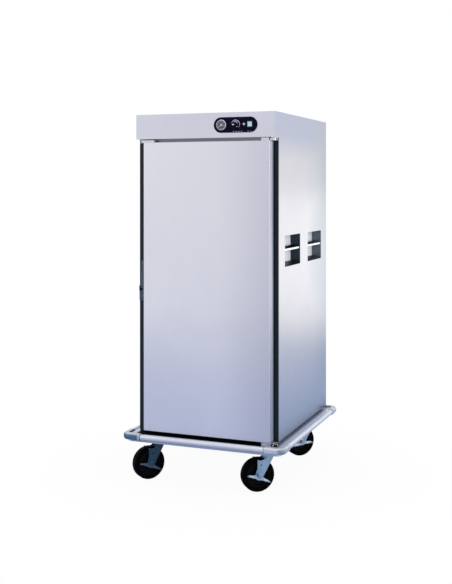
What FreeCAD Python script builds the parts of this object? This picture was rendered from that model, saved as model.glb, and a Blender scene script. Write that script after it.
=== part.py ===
import FreeCAD, Part
import math
import os

# Heated holding cart: an insulated cabinet on a bumper base with four braked swivel casters.
# Millimetres. +X right and +Y back as seen by someone at the door, +Z up.
# The origin is on the floor, at the centre of the bumper ring.

V = FreeCAD.Vector
X_AXIS = V(1, 0, 0)
Y_AXIS = V(0, 1, 0)
Z_AXIS = V(0, 0, 1)
ORIGIN = V(0, 0, 0)

# Cabinet
BODY_WIDTH = 720.0          # across the side panels
BODY_DEPTH = 835.0          # face of the door frame to the rear panel
CART_HEIGHT = 1800.0        # floor to top panel
HEADER_HEIGHT = 120.0       # control header above the door
HEADER_DROP = 18.0          # header's return flange, down the frame's face
SHEET = 1.2                 # outer sheet
SEAM = 12.0                 # width of a folded seam flange
FRAME_THICKNESS = 12.0      # door frame, front to back
MOUTH_RADIUS = 8.0          # corners of the cavity mouth

# Heated cavity
SIDE_WALL = 64.0            # body's side to the cavity
BACK_WALL = 50.0            # cavity's back to the rear panel
FLOOR_WALL = 50.0           # underside of the body to the cavity floor
CEILING_WALL = 60.0         # cavity ceiling to the bottom of the header
LINER_SHEET = 1.0
FOAM_GAP = 0.3              # insulation clear of what it is fitted round

# Door
DOOR_THICKNESS = 36.0
GASKET_GAP = 6.0            # door's back to the door frame
DOOR_LATCH_MARGIN = 40.0    # body's left edge to the door
DOOR_HINGE_MARGIN = 26.0    # door to the body's right edge
DOOR_TOP_GAP = 16.0
DOOR_BOTTOM_GAP = 16.0
DOOR_EDGE_RADIUS = 3.0
DOOR_DISH = 4.0             # pressed panel on the inside of the door
DOOR_DISH_MARGIN = 42.0     # door's edge to the pressed panel
GASKET_WIDTH = 14.0
GASKET_INSET = 3.0          # door's edge to the gasket
GASKET_LIP = 3.0            # bulb of the gasket, narrower than its base
SEAL_GAP = 0.3              # gasket to the door frame

# Hinges
HINGE_PIN_RADIUS = 5.0
HINGE_OFFSET = 14.0         # pin's axis beyond the door's edge
HINGE_PLATE = 5.0           # upper bracket
HINGE_LEG = 4.0             # upright of a bracket, against the frame
HINGE_GAP = 1.0             # leaf to bracket
LOWER_LEAF = 3.0            # thin enough to swing over the bumper
LEAF_LENGTH = 45.0          # leaf block on the door, from the door's edge
LEAF_REACH = 7.0            # leaf block beyond the door's edge
LEAF_DEPTH = 28.0
LEAF_TONGUE = 10.0          # radius of the tongue round the pin
SPARE_LEAF_LENGTH = 56.0
SPARE_LEAF_REACH = 14.0
RUNNING_GAP = 0.05          # radial clearance of a pin in its bush

# Latch on the door's left edge
LATCH_RISE = 638.0         # door's bottom to the latch
LATCH_WIDTH = 26.0
LATCH_DEPTH = 28.0
LATCH_BASE_HEIGHT = 48.0
LATCH_CHEEK = 4.5
LATCH_PIN_RADIUS = 3.0
LATCH_SIDE_GAP = 0.5        # lever to cheek
LEVER_KNUCKLE = 10.0        # radius of the lever round its pin
LEVER_LENGTH = 132.0        # pin to the lever's top
LEVER_TOP_WIDTH = 12.0
LEVER_TOP_DEPTH = 9.0
LEVER_ROUND = 3.0           # edges of the lever's top
NOSE_HEIGHT = 8.0           # catch nose on the lever's back
NOSE_REACH = 17.0
NOSE_RISE = 4.0
CATCH_RADIUS = 4.5          # round bar of the strike
CATCH_GAP = 0.5
STRIKE_PLATE = 3.0
STRIKE_HEIGHT = 60.0
STRIKE_EAR = 2.0

# Grip pockets in the side panels
POCKET_LENGTH = 250.0
POCKET_HEIGHT = 150.0
POCKET_DEPTH = 50.0
POCKET_SPACING = 380.0      # centre to centre
POCKET_RISE = 1063.0        # floor to the pocket's lower edge
POCKET_SLOPE = 14.0         # rise of the pocket's floor towards its back
POCKET_FLANGE = 10.0
GRIP_RISE = 75.0            # pocket's lower edge to the grip bar
GRIP_SET = 5.0              # bar behind the panel's face
GRIP_FACE = 10.0            # upright face of the bar
GRIP_LIP = 10.0             # rise of the bar's top towards its back
GRIP_DEPTH = 24.0
GRIP_HEM = 12.0             # folded underside of the bar
GRIP_RADIUS = 2.0
GRIP_WALL = 1.5

# Base and bumper
DECK_DEPTH = 40.0           # caster plates to the deck's top
DECK_SKIRT = 34.0           # height of the deck tray's skirt
DECK_SHEET = 2.0
DECK_RADIUS = 16.0
SIDE_LEDGE = 32.0           # tray beyond the side panels
FRONT_LEDGE = 27.0          # tray beyond the door's face
REAR_LEDGE = 7.0            # tray beyond the rear panel
PLINTH_HEIGHT = 14.0
PLINTH_INSET = 25.0
RAIL_RADIUS = 14.5
RAIL_SINK = 4.5             # depth of the flat that seats the rail on the skirt
RAIL_WALL = 2.0
RAIL_RISE = 7.0             # rail's top above the deck
CORNER_LIP = 1.5            # corner piece proud of the rails
CORNER_LEG = 59.0           # straight end of a corner piece
CORNER_ROUND = 11.0         # outer edges of a corner piece
CORNER_WALL = 3.5
CHANNEL_WIDTH = 120.0
CHANNEL_SHEET = 3.0
CHANNEL_END_GAP = 4.0

# Casters
WHEEL_DIAMETER = 160.0
WHEEL_WIDTH = 45.0
CASTER_HEAD = 36.0          # top of the wheel to the top of the caster's plate
CASTER_SIDE_INSET = 71.0    # king pin from the body's side
CASTER_FRONT_INSET = 64.0   # king pin behind the door frame's face
CASTER_REAR_INSET = 101.0   # king pin ahead of the rear panel
TRAIL = 55.0                # axle behind the king pin
PLATE_LENGTH = 110.0
PLATE_WIDTH = 90.0
PLATE_THICKNESS = 5.0
PLATE_RADIUS = 10.0
PLATE_HOLE_RADIUS = 4.5
PLATE_HOLE_INSET = 13.0
KING_PIN_RADIUS = 7.0
KING_HEAD_RADIUS = 12.0
KING_HEAD = 5.7
RACE_RADIUS = 36.0
RACE_HEIGHT = 9.0
RACE_GAP = 0.3
CROWN_THICKNESS = 6.0
CROWN_RADIUS = 34.0
CROWN_RING = 3.7            # lower race on the crown
FORK_SHEET = 4.0
FORK_GAP = 1.0              # hub to fork leg
FORK_FOLD = 8.0             # outer radius of the fold from crown to leg
FORK_HEEL = 23.0            # leg's top, behind the king pin
FORK_TOE = 11.0             # leg's top, ahead of the king pin
FORK_WAIST = 10.5           # leg's upright front edge, ahead of the axle
FORK_KNEE = 31.0            # where that edge starts, above the axle
FORK_SHOULDER = 21.0        # where it ends, below the crown
FORK_HOLLOW = 16.0          # depth of the hollow shoulder
FORK_EYE_RADIUS = 21.0
FORK_FLANGE = 6.0
FORK_FLANGE_SHEET = 3.0
FORK_HOLE_RADIUS = 3.5
FORK_HOLE_SET = 11.0        # hole in the leg, towards the king pin
FORK_HOLE_RISE = 50.0       # hole in the leg, above the axle
AXLE_RADIUS = 6.0
NUT_FLATS = 19.0
NUT_HEIGHT = 8.0
HUB_OVERHANG = 2.5          # hub past the tyre's side
HUB_RADIUS = 14.0
WEB_THICKNESS = 14.0
TYRE_DEPTH = 22.0           # tread to the core's rim
RIM_WALL = 8.0
RIM_WIDTH = 37.0
TYRE_ROUND = 9.0
BRAKE_SHEET = 3.0
BRAKE_GAP = 0.4             # brake lever to fork leg and to bolt head
BRAKE_EYE_RADIUS = 14.0
BRAKE_DROP = 14.0           # lever's arms below the axle
BRAKE_REACH = 58.0          # lever's arms from the axle
BRAKE_ARM = 6.0
BRAKE_NOSE = 19.0
PEDAL_LENGTH = 36.0
PEDAL_DEPTH = 12.0

# How each caster stands, in degrees: its swivel and its brake lever
FRONT_LEFT_SWIVEL_ANGLE = 50.0
FRONT_LEFT_BRAKE_ANGLE = 20.0
FRONT_RIGHT_SWIVEL_ANGLE = 38.0
FRONT_RIGHT_BRAKE_ANGLE = 18.0
REAR_LEFT_SWIVEL_ANGLE = 42.0
REAR_LEFT_BRAKE_ANGLE = 2.0
REAR_RIGHT_SWIVEL_ANGLE = 45.0
REAR_RIGHT_BRAKE_ANGLE = -6.0

# Controls, placed from the centre of the control plate
CONTROL_INSET = 198.0       # plate's centre from the body's right side
CONTROL_WIDTH = 220.0
CONTROL_HEIGHT = 74.0
CONTROL_THICKNESS = 3.0
CONTROL_EDGE = 1.0          # chamfer round the plate
HOLE_GAP = 0.2              # control body in its hole
THERMOMETER_X = -70.0
BEZEL_RADIUS = 25.0
BEZEL_HEIGHT = 7.0
BEZEL_RIM = 3.0
CASE_RADIUS = 20.5
CASE_DEPTH = 26.0
CASE_FLOOR = 1.0            # floor under the dial, above the plate's face
DIAL_THICKNESS = 0.6
SPINDLE_RADIUS = 0.8
SPINDLE_HEIGHT = 3.4
NEEDLE_THICKNESS = 0.8
NEEDLE_HUB = 3.0
NEEDLE_LENGTH = 18.0
NEEDLE_TAIL = 6.0
NEEDLE_ROOT = 1.0           # half width of the pointer at its tail
NEEDLE_TIP = 0.35           # half width of the pointer at its tip
NEEDLE_LIFT = 0.6           # needle above the dial
NEEDLE_ANGLE = 215.0        # needle's direction when the cart is cold
LENS_THICKNESS = 1.8
LENS_DROP = 0.8             # glass below the bezel's rim
KNOB_X = 0.0
KNOB_SKIRT_RADIUS = 18.0
KNOB_SKIRT = 4.0
KNOB_EDGE = 1.3             # chamfer on the skirt
KNOB_HEIGHT = 20.0
KNOB_GRIP = 11.0
KNOB_ROUND = 2.2            # edges of the finger bar
KNOB_LIFT = 0.5             # knob above its bush
SHAFT_RADIUS = 3.0
BUSH_RADIUS = 5.0
BUSH_HEIGHT = 1.5
SHAFT_LENGTH = 16.0         # shaft inside the thermostat
THERMOSTAT_SIZE = 42.0
THERMOSTAT_DEPTH = 28.0
LAMP_X = 44.0
LAMP_RISE = 2.0
LAMP_RADIUS = 5.5
LAMP_FLANGE = 7.0
LAMP_COLLAR = 1.4           # thickness of the lamp's flange
LAMP_DEPTH = 20.0
SWITCH_X = 73.0
SWITCH_RISE = 2.0
ROCKER_WIDTH = 21.0
ROCKER_HEIGHT = 24.0
ROCKER_GAP = 0.4
ROCKER_TILT = 7.0           # half of the rocker's travel, in degrees
SWITCH_WALL = 1.6
SWITCH_FLANGE = 1.5
SWITCH_DEPTH = 24.0
SWITCH_POCKET = 9.0
SWITCH_PIVOT_RADIUS = 1.2
SWITCH_PIVOT_DROP = 3.0     # pivot behind the plate's face

# Racks, heater and water pan
LEVELS = 11
FIRST_LEVEL = 115.0         # cavity floor to the lowest ledge
TOP_ROOM = 105.0            # highest ledge to the cavity ceiling
RACK_INSET = 28.0           # cavity's side to the pans' clear width
RUNNER_SHEET = 1.5
RUNNER_HEIGHT = 25.0
RUNNER_LEDGE = 20.0
RUNNER_END_GAP = 15.0       # runner to the front and back of the cavity
POST_WIDTH = 25.0
POST_WALL = 1.5
POST_INSET = 110.0          # post to the front and back of the cavity
POST_TOP_GAP = 60.0         # post to the cavity ceiling
ELEMENT_LEGS = 4
ELEMENT_RADIUS = 4.0
ELEMENT_RISE = 22.0
ELEMENT_MARGIN = 55.0       # element to the cover's sides
ELEMENT_FRONT_GAP = 110.0   # element to the cover's front
TERMINAL_RADIUS = 9.0
TERMINAL_THICKNESS = 6.0
COVER_SHEET = 1.2
COVER_HEIGHT = 45.0
COVER_SIDE_GAP = 46.0       # cover to the cavity's sides
COVER_FRONT_GAP = 30.0      # cover to the cavity's front
COVER_REAR_GAP = 20.0
SLOT_LENGTH = 90.0
SLOT_WIDTH = 10.0
SLOT_PITCH = 34.0
WATER_PAN_WIDTH = 325.0
WATER_PAN_LENGTH = 265.0
WATER_PAN_HEIGHT = 60.0
WATER_PAN_RADIUS = 30.0
WATER_PAN_RIM = 12.0
WATER_PAN_SHEET = 1.0

# Cable gland at the back of the header
GLAND_INSET = 110.0         # gland from the body's left side
GLAND_BODY_RADIUS = 10.0
GLAND_BORE_RADIUS = 5.5
GLAND_FLATS = 27.0
GLAND_NUT = 7.0
GLAND_DOME_RADIUS = 12.0
GLAND_TIP_RADIUS = 9.0
GLAND_LENGTH = 24.0
GLAND_INSIDE = 12.0

# An edge that leans from an axis by less than this angle, in degrees, runs along it
PARALLEL_ANGLE = 2.5

# Planes that the pieces share
half_width = BODY_WIDTH / 2
x_in = half_width - SHEET
x_deck = half_width + SIDE_LEDGE
door_projection = DOOR_THICKNESS + GASKET_GAP
y_deck = (FRONT_LEDGE + door_projection + BODY_DEPTH + REAR_LEDGE) / 2
y_front = FRONT_LEDGE - y_deck
y_face = y_front + door_projection
y_frame_back = y_face + FRAME_THICKNESS
y_rear = y_face + BODY_DEPTH
caster_height = WHEEL_DIAMETER + CASTER_HEAD
z_deck = caster_height + DECK_DEPTH
z_body = z_deck + PLINTH_HEIGHT
z_header = CART_HEIGHT - HEADER_HEIGHT
z_controls = z_header + HEADER_HEIGHT / 2
x_controls = half_width - CONTROL_INSET
x_gland = GLAND_INSET - half_width
rail_depth = 2 * RAIL_RADIUS - RAIL_SINK
z_rail = z_deck + RAIL_RISE - RAIL_RADIUS
x_cavity = half_width - SIDE_WALL
z_floor = z_body + FLOOR_WALL
z_ceiling = z_header - CEILING_WALL
y_back = y_rear - BACK_WALL
x_runner = x_cavity - RACK_INSET + RUNNER_SHEET
level_pitch = (z_ceiling - z_floor - FIRST_LEVEL - TOP_ROOM) / (LEVELS - 1)
x_cover = x_cavity - COVER_SIDE_GAP
y_cover_front = y_frame_back + COVER_FRONT_GAP
y_cover_back = y_back - COVER_REAR_GAP
x_door_left = DOOR_LATCH_MARGIN - half_width
x_door_right = half_width - DOOR_HINGE_MARGIN
y_door_back = y_front + DOOR_THICKNESS
z_door_bottom = z_deck + DOOR_BOTTOM_GAP
z_door_top = z_header - DOOR_TOP_GAP
x_pin = x_door_right + HINGE_OFFSET
y_pin = y_front + DOOR_THICKNESS / 2
x_latch = x_door_left - LATCH_WIDTH / 2
y_lever = y_pin
z_latch = z_door_bottom + LATCH_RISE
z_lever = z_latch + LATCH_BASE_HEIGHT + LEVER_KNUCKLE + NOSE_RISE
y_body_middle = (y_face + y_rear) / 2
wheel_radius = WHEEL_DIAMETER / 2
rim_radius = wheel_radius - TYRE_DEPTH
hub_half = WHEEL_WIDTH / 2 + HUB_OVERHANG
leg_inner = hub_half + FORK_GAP
leg_outer = leg_inner + FORK_SHEET
z_race = caster_height - PLATE_THICKNESS - RACE_HEIGHT
z_crown = z_race - RACE_GAP - CROWN_RING
y_brake = -(leg_outer + BRAKE_GAP)
x_caster = half_width - CASTER_SIDE_INSET
y_caster_front = y_face + CASTER_FRONT_INSET
y_caster_rear = y_rear - CASTER_REAR_INSET


def block(x0, x1, y0, y1, z0, z1):
    """Box between two corners."""
    return Part.makeBox(x1 - x0, y1 - y0, z1 - z0, V(x0, y0, z0))


def rounded(shape, radius, axis):
    """Round every straight edge that runs along an axis."""
    along = math.cos(math.radians(PARALLEL_ANGLE))
    edges = [e for e in shape.Edges if abs(e.tangentAt(e.FirstParameter).dot(axis)) > along]
    return shape.makeFillet(radius, edges)


def face_of(points):
    return Part.Face(Part.makePolygon(points + [points[0]]))


def prism_x(outline, x0, x1):
    """Outline of (y, z) points, from x0 to x1."""
    return face_of([V(x0, y, z) for y, z in outline]).extrude(V(x1 - x0, 0, 0))


def prism_y(outline, y0, y1):
    """Outline of (x, z) points, from y0 to y1."""
    return face_of([V(x, y0, z) for x, z in outline]).extrude(V(0, y1 - y0, 0))


def lathe(outline):
    """Outline of (radius, height) points, turned round the Z axis."""
    return face_of([V(r, 0, h) for r, h in outline]).revolve(ORIGIN, Z_AXIS, 360)


def rod(radius, start, end):
    """Round bar between two points."""
    return Part.makeCylinder(radius, (end - start).Length, start, end - start)


def hexagon(flats, z0, z1):
    """Hexagonal prism round the Z axis."""
    reach = flats / 2 / math.cos(math.pi / 6)
    corner = V(reach, 0, z0)
    corners = [turned(Part.Vertex(corner), 60 * i, Z_AXIS).Point for i in range(6)]
    return face_of(corners).extrude(V(0, 0, z1 - z0))


def moved(shape, x, y, z):
    copy = shape.copy()
    copy.translate(V(x, y, z))
    return copy


def turned(shape, degrees, axis):
    copy = shape.copy()
    copy.rotate(ORIGIN, axis, degrees)
    return copy


def mirrored_x(shape):
    return shape.mirror(ORIGIN, X_AXIS)


def save(name, *solids):
    """Write a node, one solid or a group of separate ones."""
    shape = solids[0] if len(solids) == 1 else Part.makeCompound(list(solids))
    shape.exportStep("parts/" + name + ".step")


# Cabinet shell

def side_panel():
    """Right side panel with the header's side in one sheet, folded seams and two grip openings."""
    outline = [(y_face, z_body), (y_rear, z_body), (y_rear, CART_HEIGHT),
               (y_front, CART_HEIGHT), (y_front, z_header), (y_face, z_header)]
    panel = prism_x(outline, x_in, half_width)
    fold = x_in - SEAM
    y_seam = y_rear - 2 * SHEET
    z_seam = CART_HEIGHT - 2 * SHEET
    bottom = block(fold, x_in, y_frame_back, y_rear - SHEET, z_body + SHEET, z_body + 2 * SHEET)
    rear = block(fold, x_in, y_seam, y_seam + SHEET, z_body + SHEET, z_seam + SHEET)
    top = block(fold, x_in, y_front + SHEET, y_rear - SHEET, z_seam, z_seam + SHEET)
    front = block(fold, x_in, y_front + SHEET, y_front + 2 * SHEET, z_header + SHEET, z_seam + SHEET)
    panel = panel.fuse([bottom, rear, top, front]).removeSplitter()
    for y in pocket_centres():
        panel = panel.cut(block(fold, half_width, y - POCKET_LENGTH / 2, y + POCKET_LENGTH / 2,
                                POCKET_RISE, POCKET_RISE + POCKET_HEIGHT))
    return panel


def rear_panel():
    sheet = block(-x_in, x_in, y_rear - SHEET, y_rear, z_body, CART_HEIGHT - SHEET)
    hole = rod(GLAND_BODY_RADIUS, V(x_gland, y_rear - SHEET, z_controls), V(x_gland, y_rear, z_controls))
    return sheet.cut(hole)


def top_panel():
    return block(-x_in, x_in, y_front, y_rear, CART_HEIGHT - SHEET, CART_HEIGHT)


def bottom_panel():
    """Bottom sheet with the recessed plinth that stands on the deck."""
    sheet = block(-x_in, x_in, y_frame_back, y_rear - SHEET, z_body, z_body + SHEET)

    def plinth(inset):
        x = half_width - inset
        return block(-x, x, y_face + inset, y_rear - inset, z_deck, z_body)

    return sheet.fuse(plinth(PLINTH_INSET).cut(plinth(PLINTH_INSET + DECK_SHEET)))


def header_fascia():
    """Front of the header, with a folded underside and a return flange down the door frame."""
    front = block(-x_in, x_in, y_front, y_front + SHEET, z_header, CART_HEIGHT - SHEET)
    under = block(-x_in, x_in, y_front, y_frame_back, z_header, z_header + SHEET)
    x_end = x_pin - LEAF_TONGUE - HINGE_GAP
    drop = block(-x_in, x_end, y_face - SHEET, y_face, z_header - HEADER_DROP, z_header)
    fascia = front.fuse([under, drop]).removeSplitter()
    return fascia.cut(on_panel(control_holes(-CONTROL_THICKNESS - SHEET, -CONTROL_THICKNESS)))


def front_frame():
    """Door frame round the mouth of the cavity."""
    ring = block(-x_in, x_in, y_face, y_frame_back, z_body, z_header)
    mouth = block(-x_cavity, x_cavity, y_face, y_frame_back, z_floor, z_ceiling)
    return ring.cut(rounded(mouth, MOUTH_RADIUS, Y_AXIS))


def inner_liner():
    """Cavity box, open at the front."""
    t = LINER_SHEET
    outer = block(-x_cavity - t, x_cavity + t, y_frame_back, y_back + t, z_floor - t, z_ceiling + t)
    return outer.cut(block(-x_cavity, x_cavity, y_frame_back, y_back, z_floor, z_ceiling))


def insulation():
    """Slabs between the liner and the outer sheets."""
    t = LINER_SHEET
    z0 = z_body + 2 * SHEET
    y1 = y_rear - 2 * SHEET
    side = block(x_cavity + t, x_in, y_frame_back, y1, z0, z_header)
    for y in pocket_centres():
        side = side.cut(pocket_shell(y, FOAM_GAP))
    back = block(-x_cavity - t, x_cavity + t, y_back + t, y1, z0, z_header)
    floor = block(-x_cavity - t, x_cavity + t, y_frame_back, y_back + t, z0, z_floor - t)
    roof = block(-x_cavity - t, x_cavity + t, y_frame_back, y_back + t, z_ceiling + t, z_header)
    return side, mirrored_x(side), back, floor, roof


# Grip pockets

def pocket_centres():
    return (y_body_middle - POCKET_SPACING / 2, y_body_middle + POCKET_SPACING / 2)


def pocket_section(grow):
    """Section of a pocket's hollow in (x, z), grown outwards, with the floor rising to the back."""
    x_back = x_in - POCKET_DEPTH - grow
    z0 = POCKET_RISE - grow
    z1 = POCKET_RISE + POCKET_HEIGHT + grow
    return [(x_in, z0), (x_in, z1), (x_back, z1), (x_back, z0 + POCKET_SLOPE)]


def pocket_shell(y, gap):
    """Solid form of a pocket with its flange behind the side panel, grown by a gap."""
    grow = SHEET + gap
    half = POCKET_LENGTH / 2
    tray = prism_y(pocket_section(grow), y - half - grow, y + half + grow)
    edge = POCKET_FLANGE + gap
    flange = block(x_in - grow, x_in, y - half - edge, y + half + edge,
                   POCKET_RISE - edge, POCKET_RISE + POCKET_HEIGHT + edge)
    return tray.fuse(flange)


def grip_bar(y):
    """Folded bar across a pocket: an upright face, a top that rises to the back, a hem below."""
    t = GRIP_WALL
    x = half_width - GRIP_SET
    z0 = POCKET_RISE + GRIP_RISE
    z1 = z0 + GRIP_FACE
    z2 = z1 + GRIP_LIP
    outline = [(x, z0), (x, z1), (x - GRIP_DEPTH, z2), (x - GRIP_DEPTH, z2 - t), (x - t, z1 - t),
               (x - t, z0 + t), (x - GRIP_HEM, z0 + t), (x - GRIP_HEM, z0)]
    bar = prism_y(outline, y - POCKET_LENGTH / 2, y + POCKET_LENGTH / 2)
    front = [e for e in bar.Edges if e.BoundBox.XMin > x - t / 2 and e.BoundBox.YLength > POCKET_LENGTH / 2]
    return bar.makeFillet(GRIP_RADIUS, front)


def grip_pocket(y):
    """Recessed pocket on the right, with the grip bar welded across its mouth."""
    half = POCKET_LENGTH / 2
    tray = pocket_shell(y, 0).cut(prism_y(pocket_section(0), y - half, y + half))
    return tray.fuse(grip_bar(y))


# Base and bumper

def deck_tray():
    """Folded tray that carries the body, open underneath."""
    def form(inset, z1):
        x, y = x_deck - inset, y_deck - inset
        return rounded(block(-x, x, -y, y, z_deck - DECK_SKIRT, z1), DECK_RADIUS - inset, Z_AXIS)

    return form(0, z_deck).cut(form(DECK_SHEET, z_deck - DECK_SHEET))


def caster_channel(y):
    """Channel under the deck, web down, that a pair of casters bolts to."""
    half = x_deck - DECK_SHEET - CHANNEL_END_GAP
    edge = CHANNEL_WIDTH / 2
    t = CHANNEL_SHEET
    bar = block(-half, half, y - edge, y + edge, caster_height, z_deck - DECK_SHEET)
    bar = bar.cut(block(-half, half, y - edge + t, y + edge - t, caster_height + t, z_deck))
    for x in (-x_caster, x_caster):
        bar = bar.cut(moved(plate_holes(caster_height, caster_height + t), x, y, 0))
    return bar


def rail_section():
    """Round tube standing out along X, with a flat that seats it on the tray's skirt."""
    def shell(inset):
        centre = V(RAIL_RADIUS - RAIL_SINK, 0, z_rail)
        disc = Part.Face(Part.Wire(Part.makeCircle(RAIL_RADIUS - inset, centre, Y_AXIS)))
        low, high = z_rail - RAIL_RADIUS, z_rail + RAIL_RADIUS
        seat = face_of([V(inset, 0, low), V(rail_depth, 0, low), V(rail_depth, 0, high), V(inset, 0, high)])
        return disc.common(seat)

    return shell(0).cut(shell(RAIL_WALL))


def corner_section():
    """Hollow box with rounded outer edges, proud of the rail by a lip."""
    def shell(inset):
        reach = rail_depth + CORNER_LIP - inset
        low = z_rail - RAIL_RADIUS - CORNER_LIP + inset
        high = z_rail + RAIL_RADIUS + CORNER_LIP - inset
        form = block(inset, reach, 0, CORNER_LEG, low, high)
        along = [e for e in form.Edges if e.BoundBox.YLength > CORNER_WALL]
        outer = [e for e in along if e.BoundBox.XMin > rail_depth / 2]
        form = form.makeFillet(CORNER_ROUND - inset, outer)
        return [f for f in form.Faces if f.BoundBox.YMax < CORNER_WALL][0]

    return shell(0).cut(shell(CORNER_WALL))


def bumper_rails():
    """Four rails against the tray's skirt, one to a side."""
    corner = DECK_RADIUS + CORNER_LEG
    section = rail_section()
    rails = []
    for quarter in range(4):
        reach, end = (y_deck, x_deck) if quarter % 2 else (x_deck, y_deck)
        half = end - corner
        rail = moved(section.extrude(V(0, 2 * half, 0)), reach, -half, 0)
        rails.append(turned(rail, 90 * quarter, Z_AXIS))
    return rails


def bumper_corners():
    """Four cast corner pieces, a quarter turn with a straight leg on each end."""
    section = moved(corner_section(), DECK_RADIUS, 0, 0)
    bend = section.revolve(ORIGIN, Z_AXIS, 90)
    leg = section.extrude(V(0, -CORNER_LEG, 0))
    far_leg = turned(section, 90, Z_AXIS).extrude(V(-CORNER_LEG, 0, 0))
    corner = bend.fuse([leg, far_leg]).removeSplitter()
    x = x_deck - DECK_RADIUS
    y = y_deck - DECK_RADIUS
    centres = ((x, y), (-x, y), (-x, -y), (x, -y))
    return [moved(turned(corner, 90 * i, Z_AXIS), cx, cy, 0) for i, (cx, cy) in enumerate(centres)]


# Door and its hinges

def door_skin():
    """Outer pan of the door, open at the back."""
    t = SHEET
    pan = block(x_door_left, x_door_right, y_front, y_door_back, z_door_bottom, z_door_top)
    front = [e for e in pan.Edges if e.BoundBox.YMax < y_front + t]
    pan = pan.makeFillet(DOOR_EDGE_RADIUS, front)
    return pan.cut(block(x_door_left + t, x_door_right - t, y_front + t, y_door_back,
                         z_door_bottom + t, z_door_top - t))


def door_dish(inset):
    """Pressed panel on the inside of the door, less a sheet thickness if inset."""
    m = DOOR_DISH_MARGIN + inset
    y0 = y_door_back - SHEET - inset
    y1 = y_door_back + DOOR_DISH - inset
    dish = block(x_door_left + m, x_door_right - m, y0, y1, z_door_bottom + m, z_door_top - m)
    rim = [e for e in dish.Edges if e.BoundBox.YMin > y_door_back]
    return dish.makeFillet(DOOR_DISH - SHEET - inset / 2, rim)


def door_liner():
    """Inner sheet of the door with its pressed middle."""
    t = SHEET
    sheet = block(x_door_left + t, x_door_right - t, y_door_back - t, y_door_back,
                  z_door_bottom + t, z_door_top - t)
    return sheet.fuse(door_dish(0)).cut(door_dish(t))


def door_core():
    t = SHEET
    core = block(x_door_left + t, x_door_right - t, y_front + t, y_door_back - t,
                 z_door_bottom + t, z_door_top - t)
    return core.cut(door_skin()).fuse(door_dish(t)).removeSplitter()


def door_gasket():
    """Magnetic seal: a base round the door with a narrower bulb towards the frame."""
    def ring(inset, width, y0, y1):
        a, b = inset, inset + width
        outer = block(x_door_left + a, x_door_right - a, y0, y1, z_door_bottom + a, z_door_top - a)
        return outer.cut(block(x_door_left + b, x_door_right - b, y0, y1, z_door_bottom + b, z_door_top - b))

    y_bulb = y_door_back + GASKET_GAP / 2
    base = ring(GASKET_INSET, GASKET_WIDTH, y_door_back, y_bulb)
    bulb = ring(GASKET_INSET + GASKET_LIP, GASKET_WIDTH - 2 * GASKET_LIP, y_bulb, y_face - SEAL_GAP)
    return base.fuse(bulb)


def leaf(z0, z1):
    """Hinge leaf on the end of the door, with a tongue that turns on the pin."""
    body = block(x_door_right - LEAF_LENGTH, x_door_right + LEAF_REACH,
                 y_pin - LEAF_DEPTH / 2, y_pin + LEAF_DEPTH / 2, z0, z1)
    tongue = block(x_door_right, x_pin, y_pin - LEAF_TONGUE, y_pin + LEAF_TONGUE, z0, z1)
    eye = rod(LEAF_TONGUE, V(x_pin, y_pin, z0), V(x_pin, y_pin, z1))
    bore = rod(HINGE_PIN_RADIUS + RUNNING_GAP, V(x_pin, y_pin, z0), V(x_pin, y_pin, z1))
    return body.fuse([tongue, eye]).removeSplitter().cut(bore)


def hinge_leaves():
    """Upper and lower leaf, and the spare leaf at the latch side of the door's top."""
    z1 = z_door_top + DOOR_TOP_GAP - HINGE_PLATE - HINGE_GAP
    spare = block(x_door_left - SPARE_LEAF_REACH, x_door_left + SPARE_LEAF_LENGTH,
                  y_pin - LEAF_DEPTH / 2, y_pin + LEAF_DEPTH / 2, z_door_top, z1)
    return (leaf(z_door_top, z1), leaf(z_door_bottom - LOWER_LEAF, z_door_bottom),
            rounded(spare, DOOR_EDGE_RADIUS, Z_AXIS))


def hinge_bracket(x0, z_seat, z_plate, z_leg):
    """Bracket on the body, from its seat to the leaf, and the pin pressed into it."""
    def slab(y0, z_end):
        return block(x0, half_width, y0, y_face, min(z_seat, z_end), max(z_seat, z_end))

    pin = rod(HINGE_PIN_RADIUS, V(x_pin, y_pin, z_seat), V(x_pin, y_pin, z_leg))
    bracket = slab(y_front + DOOR_EDGE_RADIUS, z_plate).fuse(slab(y_face - HINGE_LEG, z_leg))
    return bracket.removeSplitter().cut(pin), pin


def hinge_brackets():
    """Short bracket under the header, and a longer one on the deck that the door's weight rests on."""
    upper = hinge_bracket(x_pin - LEAF_TONGUE, z_header, z_header - HINGE_PLATE, z_door_top + HINGE_GAP)
    z_rest = z_door_bottom - LOWER_LEAF - HINGE_GAP
    lower = hinge_bracket(x_door_right - LEAF_LENGTH, z_deck, z_rest, z_door_bottom - HINGE_GAP)
    return upper + lower


# Latch

def latch_base():
    """Latch body on the door's edge with two cheeks, and the pin that the lever turns on."""
    x0 = x_door_left - LATCH_WIDTH
    z1 = z_latch + LATCH_BASE_HEIGHT
    z_cheek = z_lever + LEVER_KNUCKLE
    y0 = y_lever - LATCH_DEPTH / 2
    body = block(x0, x_door_left, y0, y0 + LATCH_DEPTH, z_latch, z1)
    cheek = block(x0, x_door_left, y0, y_lever + LEVER_KNUCKLE, z1, z_cheek)
    slot = block(x0 + LATCH_CHEEK, x_door_left - LATCH_CHEEK, y0, y0 + LATCH_DEPTH, z1, z_cheek)
    front_edges = [e for e in body.Edges if e.BoundBox.YMax < y0 + LATCH_CHEEK and e.BoundBox.XMax < x_latch]
    body = body.makeFillet(LATCH_CHEEK, front_edges)
    pin = rod(LATCH_PIN_RADIUS, V(x0, y_lever, z_lever), V(x_door_left, y_lever, z_lever))
    return body.fuse(cheek.cut(slot)).cut(pin), pin


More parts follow.
